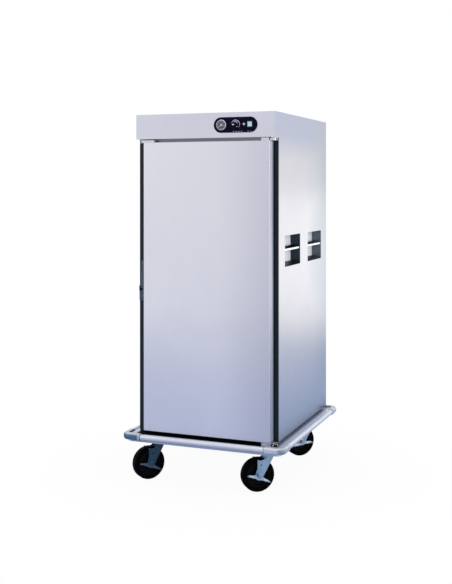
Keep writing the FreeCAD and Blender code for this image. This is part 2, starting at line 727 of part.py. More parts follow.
def latch_lever():
    """Tapered lever with a knuckle on the pin and a catch nose at its back."""
    k = LEVER_KNUCKLE
    half = LATCH_WIDTH / 2 - LATCH_CHEEK - LATCH_SIDE_GAP
    top = z_lever + LEVER_LENGTH
    tip_depth = LEVER_TOP_DEPTH / 2
    tip = LEVER_TOP_WIDTH / 2
    side = prism_x([(y_lever - k, z_lever), (y_lever + k, z_lever), (y_lever + tip_depth, top),
                    (y_lever - tip_depth, top)], x_latch - half, x_latch + half)
    front = prism_y([(x_latch - half, z_lever), (x_latch + half, z_lever), (x_latch + tip, top),
                     (x_latch - tip, top)], y_lever - LATCH_DEPTH, y_lever + LATCH_DEPTH)
    bar = side.common(front)
    bar = bar.makeFillet(LEVER_ROUND, [e for e in bar.Edges if e.BoundBox.ZMin > top - k])
    ends = V(x_latch - half, y_lever, z_lever), V(x_latch + half, y_lever, z_lever)
    nose = block(x_latch - tip, x_latch + tip, y_lever, y_lever + NOSE_REACH,
                 z_lever + NOSE_RISE, z_lever + NOSE_RISE + NOSE_HEIGHT)
    bore = rod(LATCH_PIN_RADIUS + RUNNING_GAP, *ends)
    return bar.fuse([rod(k, *ends), nose]).removeSplitter().cut(bore)


def latch_strike():
    """Plate on the door frame with a round catch bar held by two ears, just under the lever's nose."""
    half = LATCH_WIDTH / 2 - STRIKE_EAR
    z_bar = z_lever + NOSE_RISE - CATCH_GAP - CATCH_RADIUS
    y_bar = y_lever + NOSE_REACH
    plate = block(x_latch - half, x_latch + half, y_face - STRIKE_PLATE, y_face,
                  z_bar - STRIKE_HEIGHT / 2, z_bar + STRIKE_HEIGHT / 2)
    bar = rod(CATCH_RADIUS, V(x_latch - half, y_bar, z_bar), V(x_latch + half, y_bar, z_bar))
    ears = [block(x, x + STRIKE_EAR, y_bar, y_face, z_bar - CATCH_RADIUS, z_bar + CATCH_RADIUS)
            for x in (x_latch - half, x_latch + half - STRIKE_EAR)]
    return plate.fuse([bar] + ears).removeSplitter()


# Controls, modelled facing +Z with the plate's front face at zero

def on_panel(shape):
    """Stand a control up on the header, facing the front."""
    return moved(turned(shape, 90, X_AXIS), x_controls, y_front - CONTROL_THICKNESS, z_controls)


def switch_block(width, height, z0, z1):
    return block(SWITCH_X - width / 2, SWITCH_X + width / 2,
                 SWITCH_RISE - height / 2, SWITCH_RISE + height / 2, z0, z1)


def control_holes(z0, z1):
    """Openings for the four controls through the plate and the fascia."""
    round_holes = ((THERMOMETER_X, 0, CASE_RADIUS), (KNOB_X, 0, BUSH_RADIUS),
                   (LAMP_X, LAMP_RISE, LAMP_RADIUS))
    holes = [rod(r + HOLE_GAP, V(x, y, z0), V(x, y, z1)) for x, y, r in round_holes]
    grow = 2 * (SWITCH_WALL + ROCKER_GAP + HOLE_GAP)
    holes.append(switch_block(ROCKER_WIDTH + grow, ROCKER_HEIGHT + grow, z0, z1))
    return Part.makeCompound(holes)


def control_plate():
    """Round-ended plate on the header."""
    r = CONTROL_HEIGHT / 2
    x = CONTROL_WIDTH / 2 - r
    z = -CONTROL_THICKNESS
    low_left, low_right = V(-x, -r, z), V(x, -r, z)
    high_left, high_right = V(-x, r, z), V(x, r, z)
    edges = [Part.makeLine(low_left, low_right), Part.Arc(low_right, V(x + r, 0, z), high_right).toShape(),
             Part.makeLine(high_right, high_left), Part.Arc(high_left, V(-x - r, 0, z), low_left).toShape()]
    plate = Part.Face(Part.Wire(edges)).extrude(V(0, 0, CONTROL_THICKNESS))
    rim = [e for e in plate.Edges if e.BoundBox.ZMin > z / 2]
    return on_panel(plate.makeChamfer(CONTROL_EDGE, rim).cut(control_holes(z, 0)))


def thermometer_case():
    """Can through the panel with its bezel and the needle's spindle."""
    inner = BEZEL_RADIUS - BEZEL_RIM
    top = BEZEL_HEIGHT
    outline = [(0, -CASE_DEPTH), (CASE_RADIUS, -CASE_DEPTH), (CASE_RADIUS, 0), (BEZEL_RADIUS, 0),
               (BEZEL_RADIUS, top - BEZEL_RIM / 2), (BEZEL_RADIUS - BEZEL_RIM / 2, top), (inner, top),
               (inner, CASE_FLOOR), (SPINDLE_RADIUS, CASE_FLOOR), (SPINDLE_RADIUS, SPINDLE_HEIGHT),
               (0, SPINDLE_HEIGHT)]
    return on_panel(moved(lathe(outline), THERMOMETER_X, 0, 0))


def thermometer_disc(z0, thickness, hole):
    inner = BEZEL_RADIUS - BEZEL_RIM
    disc = rod(inner, V(0, 0, z0), V(0, 0, z0 + thickness))
    if hole:
        disc = disc.cut(rod(hole, V(0, 0, z0), V(0, 0, z0 + thickness)))
    return on_panel(moved(disc, THERMOMETER_X, 0, 0))


def thermometer_needle():
    """Pointer with a hub on the spindle and a short tail."""
    z0 = CASE_FLOOR + DIAL_THICKNESS + NEEDLE_LIFT
    outline = [V(-NEEDLE_TAIL, -NEEDLE_ROOT, z0), V(NEEDLE_LENGTH, -NEEDLE_TIP, z0),
               V(NEEDLE_LENGTH, NEEDLE_TIP, z0), V(-NEEDLE_TAIL, NEEDLE_ROOT, z0)]
    pointer = face_of(outline).extrude(V(0, 0, NEEDLE_THICKNESS))
    hub = rod(NEEDLE_HUB, V(0, 0, z0), V(0, 0, z0 + NEEDLE_THICKNESS))
    bore = rod(SPINDLE_RADIUS + RUNNING_GAP, V(0, 0, z0), V(0, 0, z0 + NEEDLE_THICKNESS))
    needle = turned(pointer.fuse(hub).cut(bore), NEEDLE_ANGLE, Z_AXIS)
    return on_panel(moved(needle, THERMOMETER_X, 0, 0))


def thermostat_body():
    """Thermostat behind the fascia, with the bush that its shaft turns in."""
    half = THERMOSTAT_SIZE / 2
    z1 = -CONTROL_THICKNESS - SHEET
    body = block(-half, half, -half, half, z1 - THERMOSTAT_DEPTH, z1)
    bush = rod(BUSH_RADIUS, V(0, 0, z1), V(0, 0, BUSH_HEIGHT))
    bore = rod(SHAFT_RADIUS + RUNNING_GAP, V(0, 0, z1 - SHAFT_LENGTH), V(0, 0, BUSH_HEIGHT))
    return on_panel(moved(body.fuse(bush).cut(bore), KNOB_X, 0, 0))


def thermostat_knob():
    """Knob with a skirt and a finger bar, on its shaft."""
    z0 = BUSH_HEIGHT + KNOB_LIFT
    z1 = z0 + KNOB_HEIGHT
    skirt = rod(KNOB_SKIRT_RADIUS, V(0, 0, z0), V(0, 0, z0 + KNOB_SKIRT))
    rim = [e for e in skirt.Edges if e.BoundBox.ZMin > z0 + KNOB_SKIRT / 2]
    skirt = skirt.makeChamfer(KNOB_EDGE, rim)
    reach = KNOB_SKIRT_RADIUS - KNOB_EDGE
    bar = block(-reach, reach, -KNOB_GRIP / 2, KNOB_GRIP / 2, z0, z1)
    bar = bar.common(rod(reach, V(0, 0, z0), V(0, 0, z1)))
    bar = bar.makeFillet(KNOB_ROUND, [e for e in bar.Edges if e.BoundBox.ZMin > z1 - KNOB_SKIRT])
    z_end = -CONTROL_THICKNESS - SHEET - SHAFT_LENGTH + KNOB_LIFT
    shaft = rod(SHAFT_RADIUS, V(0, 0, z_end), V(0, 0, z0))
    return on_panel(moved(skirt.fuse([bar, shaft]), KNOB_X, 0, 0))


def pilot_lamp():
    """Lamp body through the panel with a flange and a domed lens."""
    flange = rod(LAMP_FLANGE, V(0, 0, 0), V(0, 0, LAMP_COLLAR))
    body = rod(LAMP_RADIUS, V(0, 0, -LAMP_DEPTH), V(0, 0, LAMP_COLLAR))
    dome = Part.makeSphere(LAMP_RADIUS, V(0, 0, LAMP_COLLAR)).common(
        rod(LAMP_FLANGE, V(0, 0, LAMP_COLLAR), V(0, 0, LAMP_COLLAR + LAMP_FLANGE)))
    return on_panel(moved(body.fuse([flange, dome]).removeSplitter(), LAMP_X, LAMP_RISE, 0))


def switch_frame():
    """Switch housing with a pocket for the rocker and sockets for its pivots."""
    room = 2 * ROCKER_GAP
    wall = 2 * SWITCH_WALL
    body = switch_block(ROCKER_WIDTH + room + wall, ROCKER_HEIGHT + room + wall, -SWITCH_DEPTH, 0)
    flange = switch_block(ROCKER_WIDTH + room + 2 * wall, ROCKER_HEIGHT + room + 2 * wall, 0, SWITCH_FLANGE)
    pocket = switch_block(ROCKER_WIDTH + room, ROCKER_HEIGHT + room, -SWITCH_POCKET, SWITCH_FLANGE)
    reach = ROCKER_WIDTH / 2 + ROCKER_GAP + SWITCH_WALL / 2
    sockets = rod(SWITCH_PIVOT_RADIUS + RUNNING_GAP, V(SWITCH_X - reach, SWITCH_RISE, -SWITCH_PIVOT_DROP),
                  V(SWITCH_X + reach, SWITCH_RISE, -SWITCH_PIVOT_DROP))
    return on_panel(body.fuse(flange).removeSplitter().cut(pocket).cut(sockets))


def switch_rocker():
    """Rocker with a hollow V face, tipped to its off side."""
    radius = ROCKER_HEIGHT / 2
    half = ROCKER_WIDTH / 2
    high = SWITCH_PIVOT_DROP + 2 * SWITCH_FLANGE
    valley = high - radius * math.tan(math.radians(ROCKER_TILT))
    low = SWITCH_PIVOT_DROP - SWITCH_POCKET + 2 * SWITCH_PIVOT_RADIUS
    profile = [(-radius, low), (radius, low), (radius, high), (0, valley), (-radius, high)]
    wedge = prism_x(profile, -half, half)
    wedge = wedge.common(rod(radius, V(-half, 0, 0), V(half, 0, 0)))
    reach = half + ROCKER_GAP + SWITCH_WALL / 3
    pivots = rod(SWITCH_PIVOT_RADIUS, V(-reach, 0, 0), V(reach, 0, 0))
    rocker = turned(wedge.fuse(pivots), ROCKER_TILT, X_AXIS)
    return on_panel(moved(rocker, SWITCH_X, SWITCH_RISE, -SWITCH_PIVOT_DROP))


# Inside the cavity

def rack_posts():
    """Four box posts on the cavity's side walls."""
    def tube(inset, y):
        a = POST_WIDTH / 2 - inset
        return block(x_runner + inset, x_cavity - inset, y - a, y + a, z_floor, z_ceiling - POST_TOP_GAP)

    posts = []
    for y in (y_frame_back + POST_INSET, y_back - POST_INSET):
        post = tube(0, y).cut(tube(POST_WALL, y))
        posts += [post, mirrored_x(post)]
    return posts


def pan_runners():
    """Angle runners, a pair at each level."""
    x1 = x_runner
    x0 = x1 - RUNNER_SHEET
    runners = []
    for level in range(LEVELS):
        z = z_floor + FIRST_LEVEL + level * level_pitch
        outline = [(x0 - RUNNER_LEDGE, z - RUNNER_SHEET), (x1, z - RUNNER_SHEET), (x1, z + RUNNER_HEIGHT),
                   (x0, z + RUNNER_HEIGHT), (x0, z), (x0 - RUNNER_LEDGE, z)]
        runner = prism_y(outline, y_frame_back + RUNNER_END_GAP, y_back - RUNNER_END_GAP)
        runners += [runner, mirrored_x(runner)]
    return runners


def heating_element():
    """Tubular element, bent to hairpins, held by two terminals on the back wall."""
    z = z_floor + ELEMENT_RISE
    last = ELEMENT_LEGS - 1
    pitch = 2 * (x_cover - ELEMENT_MARGIN) / last
    r = pitch / 2
    xs = [(leg - last / 2) * pitch for leg in range(ELEMENT_LEGS)]
    y_end = y_back - TERMINAL_THICKNESS
    y_near = y_cover_front + ELEMENT_FRONT_GAP + r
    y_far = y_end - r - TERMINAL_RADIUS
    path = []
    for leg, x in enumerate(xs):
        forward = leg % 2 == 0
        near, far = V(x, y_near, z), V(x, y_end if leg in (0, last) else y_far, z)
        path.append(Part.makeLine(far, near) if forward else Part.makeLine(near, far))
        if leg < last:
            turn = near if forward else far
            bulge = V(r, -r if forward else r, 0)
            path.append(Part.Arc(turn, turn + bulge, turn + V(pitch, 0, 0)).toShape())
    section = Part.Wire(Part.makeCircle(ELEMENT_RADIUS, V(xs[0], y_end, z), Y_AXIS))
    tube = Part.Wire(path).makePipeShell([section], True, False)
    ends = [rod(TERMINAL_RADIUS, V(x, y_end, z), V(x, y_back, z)) for x in (xs[0], xs[last])]
    return tube.fuse(ends)


def heater_cover():
    """Slotted cover over the element, standing on its two folded sides."""
    t = COVER_SHEET
    y0, y1 = y_cover_front, y_cover_back
    z1 = z_floor + COVER_HEIGHT
    cover = block(-x_cover, x_cover, y0, y1, z_floor, z1)
    cover = cover.cut(block(-x_cover + t, x_cover - t, y0, y1, z_floor, z1 - t))
    rows = int((y1 - y0 - SLOT_PITCH) // SLOT_PITCH)
    x = x_cover - SLOT_LENGTH / 2 - SLOT_WIDTH
    slot = block(-SLOT_LENGTH / 2, SLOT_LENGTH / 2, -SLOT_WIDTH / 2, SLOT_WIDTH / 2, z1 - t, z1)
    slots = [moved(slot, side * x, y0 + SLOT_PITCH * (row + 1), 0) for side in (-1, 1) for row in range(rows)]
    return cover.cut(Part.makeCompound(slots))


def water_pan():
    """Humidity pan on the cover, with rounded corners and a rim."""
    y_mid = (y_cover_front + y_cover_back) / 2
    z0 = z_floor + COVER_HEIGHT
    z1 = z0 + WATER_PAN_HEIGHT
    t = WATER_PAN_SHEET

    def form(inset, radius, z):
        x, y = WATER_PAN_WIDTH / 2 - inset, WATER_PAN_LENGTH / 2 - inset
        return rounded(block(-x, x, y_mid - y, y_mid + y, z, z1), radius, Z_AXIS)

    tub = form(WATER_PAN_RIM, WATER_PAN_RADIUS, z0)
    lip = form(0, WATER_PAN_RADIUS, z1 - t)
    return tub.fuse(lip).cut(form(WATER_PAN_RIM + t, WATER_PAN_RADIUS - t, z0 + t))


def cable_gland():
    """Gland through the rear panel, facing the back."""
    dome = [(0, GLAND_NUT), (GLAND_DOME_RADIUS, GLAND_NUT), (GLAND_DOME_RADIUS, GLAND_LENGTH / 2),
            (GLAND_TIP_RADIUS, GLAND_LENGTH), (0, GLAND_LENGTH)]
    body = rod(GLAND_BODY_RADIUS, V(0, 0, -GLAND_INSIDE), V(0, 0, GLAND_NUT))
    nuts = [hexagon(GLAND_FLATS, 0, GLAND_NUT), hexagon(GLAND_FLATS, -SHEET - GLAND_NUT, -SHEET)]
    bore = rod(GLAND_BORE_RADIUS, V(0, 0, -GLAND_INSIDE), V(0, 0, GLAND_LENGTH))
    gland = lathe(dome).fuse([body] + nuts).removeSplitter().cut(bore)
    return moved(turned(gland, -90, X_AXIS), x_gland, y_rear, z_controls)


# Casters, modelled with the king pin on the Z axis, trailing along -X, brake side towards -Y

def plate_holes(z0, z1):
    x = PLATE_LENGTH / 2 - PLATE_HOLE_INSET
    y = PLATE_WIDTH / 2 - PLATE_HOLE_INSET
    return Part.makeCompound([rod(PLATE_HOLE_RADIUS, V(i * x, j * y, z0), V(i * x, j * y, z1))
                              for i in (-1, 1) for j in (-1, 1)])


def caster_plate():
    """Top plate with the upper race and the riveted king pin."""
    z1 = caster_height
    z0 = z1 - PLATE_THICKNESS
    plate = block(-PLATE_LENGTH / 2, PLATE_LENGTH / 2, -PLATE_WIDTH / 2, PLATE_WIDTH / 2, z0, z1)
    plate = rounded(plate, PLATE_RADIUS, Z_AXIS).cut(plate_holes(z0, z1))
    z_head = z_crown - CROWN_THICKNESS - RACE_GAP
    race = [(0, z_head - KING_HEAD), (KING_HEAD_RADIUS, z_head - KING_HEAD), (KING_HEAD_RADIUS, z_head),
            (KING_PIN_RADIUS, z_head), (KING_PIN_RADIUS, z_race), (RACE_RADIUS, z_race),
            (RACE_RADIUS, z_race + RACE_HEIGHT / 2), (RACE_RADIUS - RACE_HEIGHT / 2, z0), (0, z0)]
    return plate.fuse(lathe(race)).removeSplitter()


def fork_outline():
    """Side view of a leg: straight back edge, eye round the axle, upright front edge, hollow shoulder."""
    x_eye = -TRAIL
    r = FORK_EYE_RADIUS
    z_eye = wheel_radius
    top_back = V(FORK_HEEL, 0, z_crown)
    run, rise = FORK_HEEL - x_eye, z_crown - z_eye
    lean = math.atan2(rise, run) - math.asin(r / math.hypot(run, rise)) - math.pi / 2
    tangent = V(x_eye + r * math.cos(lean), 0, z_eye + r * math.sin(lean))
    low = V(x_eye, 0, z_eye - r)
    front = V(x_eye - r, 0, z_eye)
    knee = V(x_eye - FORK_WAIST, 0, z_eye + FORK_KNEE)
    shoulder = V(x_eye - FORK_WAIST, 0, z_crown - FORK_SHOULDER)
    top_front = V(-FORK_TOE, 0, z_crown)
    hollow = V(-FORK_TOE - FORK_WAIST, 0, z_crown - FORK_HOLLOW)
    edges = [Part.makeLine(top_back, tangent), Part.Arc(tangent, low, front).toShape(),
             Part.makeLine(front, knee), Part.makeLine(knee, shoulder),
             Part.Arc(shoulder, hollow, top_front).toShape(), Part.makeLine(top_front, top_back)]
    return Part.Face(Part.Wire(edges))


def caster_fork():
    """Pressed fork: crown, lower race and two folded legs with stiffening flanges."""
    bend = rounded(block(-2 * TRAIL, 2 * TRAIL, -leg_outer, leg_outer, 0, z_crown), FORK_FOLD, X_AXIS)
    room = block(-2 * TRAIL, 2 * TRAIL, -leg_inner, leg_inner, -FORK_FOLD, z_crown - CROWN_THICKNESS)
    outline = moved(fork_outline().extrude(V(0, 4 * leg_outer, 0)), 0, -2 * leg_outer, 0)
    legs = bend.cut(room).common(outline)
    z0 = z_crown - CROWN_THICKNESS
    crown = rod(CROWN_RADIUS, V(0, 0, z0), V(0, 0, z_crown))
    ring = rod(RACE_RADIUS - CROWN_RING, V(0, 0, z_crown), V(0, 0, z_crown + CROWN_RING))
    x_flange = -TRAIL - FORK_WAIST
    z_low, z_high = wheel_radius + FORK_KNEE, z_crown - FORK_SHOULDER
    flanges = [block(x_flange, x_flange + FORK_FLANGE_SHEET, y, y + FORK_FLANGE, z_low, z_high)
               for y in (-leg_outer - FORK_FLANGE, leg_outer)]
    fork = legs.fuse([crown, ring] + flanges).removeSplitter()
    king_bore = rod(KING_PIN_RADIUS + RUNNING_GAP, V(0, 0, z0), V(0, 0, z_crown + CROWN_RING))
    axle_bore = axle_rod(AXLE_RADIUS, leg_outer)
    leg_hole = moved(axle_rod(FORK_HOLE_RADIUS, leg_outer), FORK_HOLE_SET, 0, FORK_HOLE_RISE)
    return fork.cut([king_bore, axle_bore, leg_hole])


def axle_rod(radius, half):
    return rod(radius, V(-TRAIL, -half, wheel_radius), V(-TRAIL, half, wheel_radius))


def on_axle(shape):
    """Turn a shape made round Z on to the wheel's axle."""
    return moved(turned(shape, 90, X_AXIS), -TRAIL, 0, wheel_radius)


def caster_axle():
    """Axle bolt, head on the brake side, with its nut."""
    head = -y_brake + BRAKE_SHEET + BRAKE_GAP
    far = leg_outer + NUT_HEIGHT
    shaft = rod(AXLE_RADIUS, V(0, 0, -far), V(0, 0, head))
    bolt = shaft.fuse(hexagon(NUT_FLATS, head, head + NUT_HEIGHT))
    nut = hexagon(NUT_FLATS, -far, -leg_outer).cut(shaft)
    return on_axle(bolt), on_axle(nut)


def wheel_core():
    """Core with a hub, a web and a rim."""
    bore = AXLE_RADIUS + RUNNING_GAP
    web, rim = WEB_THICKNESS / 2, RIM_WIDTH / 2
    inner = rim_radius - RIM_WALL
    half = [(bore, hub_half), (HUB_RADIUS, hub_half), (HUB_RADIUS, web), (inner, web), (inner, rim),
            (rim_radius, rim)]
    outline = half + [(r, -h) for r, h in reversed(half)]
    return on_axle(lathe(outline))


def tyre():
    """Solid tyre with rounded shoulders."""
    ends = V(0, 0, -WHEEL_WIDTH / 2), V(0, 0, WHEEL_WIDTH / 2)
    ring = rod(wheel_radius, *ends).cut(rod(rim_radius, *ends))
    tread = [e for e in ring.Edges if isinstance(e.Curve, Part.Circle) and e.Curve.Radius > rim_radius]
    return on_axle(ring.makeFillet(TYRE_ROUND, tread))


def brake_lever(tilt):
    """Rocking brake lever on the axle, with a pedal folded out at each end."""
    drop, reach, arm = BRAKE_DROP, BRAKE_REACH, BRAKE_ARM / 2
    eye = BRAKE_EYE_RADIUS
    outline = [(-reach, arm - drop), (-reach, -arm - drop), (-eye, -arm - drop), (0, -BRAKE_NOSE),
               (eye, -arm - drop), (reach, -arm - drop), (reach, arm - drop), (eye, 0), (-eye, 0)]
    y1 = y_brake
    y0 = y1 - BRAKE_SHEET
    plate = prism_y(outline, y0, y1).fuse(rod(eye, V(0, y0, 0), V(0, y1, 0)))
    pedals = [block(x, x + PEDAL_LENGTH, y0 - PEDAL_DEPTH, y0, arm - drop - BRAKE_SHEET, arm - drop)
              for x in (-reach, reach - PEDAL_LENGTH)]
    bore = rod(AXLE_RADIUS + RUNNING_GAP, V(0, y0, 0), V(0, y1, 0))
    lever = plate.fuse(pedals).removeSplitter().cut(bore)
    return moved(turned(lever, tilt, Y_AXIS), -TRAIL, 0, wheel_radius)


def caster_places():
    """Each caster's king pin in plan, with the angles of its swivel and of its brake lever."""
    return {
        "front_left": (-x_caster, y_caster_front, FRONT_LEFT_SWIVEL_ANGLE, FRONT_LEFT_BRAKE_ANGLE),
        "front_right": (x_caster, y_caster_front, FRONT_RIGHT_SWIVEL_ANGLE, FRONT_RIGHT_BRAKE_ANGLE),
        "rear_left": (-x_caster, y_caster_rear, REAR_LEFT_SWIVEL_ANGLE, REAR_LEFT_BRAKE_ANGLE),
        "rear_right": (x_caster, y_caster_rear, REAR_RIGHT_SWIVEL_ANGLE, REAR_RIGHT_BRAKE_ANGLE),
    }


def build_casters():
    fork, core, tread = caster_fork(), wheel_core(), tyre()
    bolt, nut = caster_axle()
    plates = []
    for corner, (x, y, swivel, tilt) in caster_places().items():

        def placed(shape):
            return moved(turned(shape, swivel, Z_AXIS), x, y, 0)

        plates.append(moved(caster_plate(), x, y, 0))
        save(corner + "_fork", placed(fork))
        save(corner + "_axle", placed(bolt), placed(nut))
        save(corner + "_wheel_core", placed(core))
        save(corner + "_tyre", placed(tread))
        save(corner + "_brake_lever", placed(brake_lever(tilt)))
    save("caster_plates", *plates)


def build_cabinet():
    panel = side_panel()
    save("right_side_panel", panel)
    save("left_side_panel", mirrored_x(panel))
    save("rear_panel", rear_panel())
    save("top_panel", top_panel())
    save("bottom_panel", bottom_panel())
    save("header_fascia", header_fascia())
    save("front_frame", front_frame())
    save("inner_liner", inner_liner())
    save("insulation", *insulation())
    pockets = [grip_pocket(y) for y in pocket_centres()]
    save("grip_pockets", *(pockets + [mirrored_x(p) for p in pockets]))
    save("cable_gland", cable_gland())


def build_base():
    save("deck_tray", deck_tray())
    save("caster_channels", caster_channel(y_caster_front), caster_channel(y_caster_rear))
    save("bumper_rails", *bumper_rails())
    save("bumper_corners", *bumper_corners())


def build_door():
    save("door_skin", door_skin())
    save("door_liner", door_liner())
    save("door_core", door_core())
    save("door_gasket", door_gasket())
    save("hinge_leaves", *hinge_leaves())
    save("hinge_brackets", *hinge_brackets())
    save("latch_base", *latch_base())
    save("latch_lever", latch_lever())
    save("latch_strike", latch_strike())


def build_controls():
    z_glass = BEZEL_HEIGHT - LENS_DROP - LENS_THICKNESS
    save("control_plate", control_plate())
    save("thermometer_case", thermometer_case())
    save("thermometer_dial", thermometer_disc(CASE_FLOOR, DIAL_THICKNESS, SPINDLE_RADIUS + RUNNING_GAP))
    save("thermometer_lens", thermometer_disc(z_glass, LENS_THICKNESS, 0))
    save("thermometer_needle", thermometer_needle())
    save("thermostat_body", thermostat_body())
    save("thermostat_knob", thermostat_knob())
    save("pilot_lamp", pilot_lamp())
    save("switch_frame", switch_frame())
    save("switch_rocker", switch_rocker())


def build_inside():
    save("rack_posts", *rack_posts())
    save("pan_runners", *pan_runners())
    save("heating_element", heating_element())
    save("heater_cover", heater_cover())
    save("water_pan", water_pan())


os.makedirs("parts", exist_ok=True)
build_cabinet()
build_base()
build_door()
build_controls()
build_inside()
build_casters()
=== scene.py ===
# %% [markdown]
# A heated holding cart: an insulated stainless cabinet on a bumper base with four casters. The construction
# arrives from CAD as a frame of named nodes, each riding on a body of the mechanism. This lesson dresses
# that frame. It sets the camera and the light, gives every node a procedural finish, and adds the small
# things that CAD leaves out, such as printed scales, screws and bolt heads.

import bpy
import bmesh
import math
from mathutils import Matrix, Vector


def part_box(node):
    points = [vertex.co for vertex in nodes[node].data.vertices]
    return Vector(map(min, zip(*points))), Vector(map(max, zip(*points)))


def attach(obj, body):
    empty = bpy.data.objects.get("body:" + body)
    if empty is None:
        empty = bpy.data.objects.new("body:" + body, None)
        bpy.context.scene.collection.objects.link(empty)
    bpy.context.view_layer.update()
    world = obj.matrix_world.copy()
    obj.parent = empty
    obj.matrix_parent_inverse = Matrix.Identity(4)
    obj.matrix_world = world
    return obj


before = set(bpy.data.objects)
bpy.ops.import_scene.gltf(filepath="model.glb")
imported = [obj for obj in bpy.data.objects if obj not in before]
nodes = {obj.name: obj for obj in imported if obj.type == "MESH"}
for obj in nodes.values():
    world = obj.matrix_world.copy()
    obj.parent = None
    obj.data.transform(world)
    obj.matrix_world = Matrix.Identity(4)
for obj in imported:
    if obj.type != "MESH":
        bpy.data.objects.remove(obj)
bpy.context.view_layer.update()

# %% [markdown]
# The photograph was taken to the right of the door, at about eye height, with a level camera. A level
# camera keeps upright edges upright. The horizon is above the middle of the picture, so the lens is shifted
# down rather than the camera tilted.

# %% Camera
IMAGE_HEIGHT = 584
FOCAL_PIXELS = 965.0
HORIZON_ROW = 186.4
CAMERA_PLACE = (1.784, -4.6855, 1.449)
CAMERA_YAW = math.radians(21.42)

camera_data = bpy.data.cameras.new("photo_camera")
camera_data.sensor_fit = "VERTICAL"
camera_data.sensor_height = 36.0
camera_data.lens = FOCAL_PIXELS * camera_data.sensor_height / IMAGE_HEIGHT
camera_data.shift_y = (HORIZON_ROW - IMAGE_HEIGHT / 2) / IMAGE_HEIGHT
camera = bpy.data.objects.new("photo_camera", camera_data)
camera.location = CAMERA_PLACE
camera.rotation_euler = (math.radians(90), 0, CAMERA_YAW)
bpy.context.scene.collection.objects.link(camera)
bpy.context.scene.camera = camera
print("lens", round(camera_data.lens, 2), "mm, shift", round(camera_data.shift_y, 4))

# %% [markdown]
# The studio is a pale floor, a white surround and four large softboxes. Polished metal shows what stands
# round it, so the softboxes are big and mild: a small bright lamp would burn a spot into the door. The
# surround is white for what the camera, a reflection or a lens sees, and dimmer as a light, so the
# softboxes can model the form.

# %% Surround
bpy.context.scene.view_settings.view_transform = "Standard"


def light_path_mask(tree, rays):
    """1 on the rays that are named, 0 on the others."""
    path = tree.nodes.new("ShaderNodeLightPath")
    mask = path.outputs[rays[0]]
    for ray in rays[1:]:
        both = tree.nodes.new("ShaderNodeMath")
        both.operation = "MAXIMUM"
        tree.links.new(mask, both.inputs[0])
        tree.links.new(path.outputs[ray], both.inputs[1])
        mask = both.outputs[0]
    return mask


world = bpy.data.worlds.new("white_surround")
bpy.context.scene.world = world
world.use_nodes = True
surround = world.node_tree
lit = surround.nodes["Background"]
lit.inputs["Color"].default_value = (0.93, 0.95, 1.0, 1)
lit.inputs["Strength"].default_value = 0.85
shown = surround.nodes.new("ShaderNodeBackground")
shown.inputs["Color"].default_value = (1, 1, 1, 1)
shown.inputs["Strength"].default_value = 1.0
choose = surround.nodes.new("ShaderNodeMixShader")
seen = light_path_mask(surround, ("Is Camera Ray", "Is Glossy Ray", "Is Transmission Ray"))
surround.links.new(seen, choose.inputs["Fac"])
surround.links.new(lit.outputs[0], choose.inputs[1])
surround.links.new(shown.outputs[0], choose.inputs[2])
surround.links.new(choose.outputs[0], surround.nodes["World Output"].inputs["Surface"])
print("surround: shown and lit by", [glow.inputs["Strength"].default_value for glow in (shown, lit)])

# %% [markdown]
# A softbox is an area lamp that is aimed from its place at a point on the cart. A spot or a sun would be
# simpler, but brushed metal draws a small lamp out into a hard streak. The one behind the side gives the
# pale band there.

# %% Softboxes
def softbox(name, place, aim, size, power, colour=(1, 1, 1)):
    data = bpy.data.lights.new(name, "AREA")
    data.color = colour
    data.shape = "RECTANGLE"
    data.size, data.size_y = size
    data.energy = power
    obj = bpy.data.objects.new(name, data)
    obj.location = place
    obj.rotation_euler = (Vector(aim) - Vector(place)).to_track_quat("-Z", "Y").to_euler()
    bpy.context.scene.collection.objects.link(obj)


softbox("left_softbox", (-4.2, -3.0, 2.7), (0, 0, 0.9), (2.4, 2.4), 34)
softbox("side_softbox", (1.90, 2.9, 0.84), (0.36, 0, 0.84), (2.2, 1.1), 3.8, (1.0, 0.985, 0.93))
softbox("overhead_softbox", (0.3, -0.4, 4.4), (0, 0, 0), (3.2, 3.2), 34)
softbox("right_softbox", (4.5, -0.8, 1.6), (0.36, 0, 1.1), (3.4, 3.0), 62)
print("softboxes: left, side, overhead and right")

# %% [markdown]
# The floor takes a soft shadow near the wheels and fades to the white surround. Only the camera sees the
# fade; the metal still reflects a plain, slightly grey floor, which is what darkens the lower door.

# %% Floor
FLOOR_SIZE = 8.0
FADE_START, FADE_END = 0.3, 1.3
WHITE_NEAR, WHITE_FAR = 0.95, 1.0
bm = bmesh.new()
bmesh.ops.create_grid(bm, x_segments=1, y_segments=1, size=FLOOR_SIZE / 2)
floor_mesh = bpy.data.meshes.new("floor")
bm.to_mesh(floor_mesh)
bm.free()
floor = bpy.data.objects.new("floor", floor_mesh)
bpy.context.scene.collection.objects.link(floor)

floor_paint = bpy.data.materials.new("pale_floor")
floor_paint.use_nodes = True
tree = floor_paint.node_tree
matte = tree.nodes["Principled BSDF"]
matte.inputs["Base Color"].default_value = (0.56, 0.62, 0.77, 1)
matte.inputs["Roughness"].default_value = 0.9
white = tree.nodes.new("ShaderNodeEmission")
white.inputs["Strength"].default_value = 1.0
place = tree.nodes.new("ShaderNodeTexCoord")
reach = tree.nodes.new("ShaderNodeVectorMath")
reach.operation = "LENGTH"
tree.links.new(place.outputs["Object"], reach.inputs[0])
fade = tree.nodes.new("ShaderNodeMapRange")
fade.interpolation_type = "SMOOTHSTEP"
fade.inputs["From Min"].default_value = FADE_START
fade.inputs["From Max"].default_value = FADE_END
fade.inputs["To Min"].default_value = WHITE_NEAR
fade.inputs["To Max"].default_value = WHITE_FAR
tree.links.new(reach.outputs["Value"], fade.inputs["Value"])
seen_far = tree.nodes.new("ShaderNodeMath")
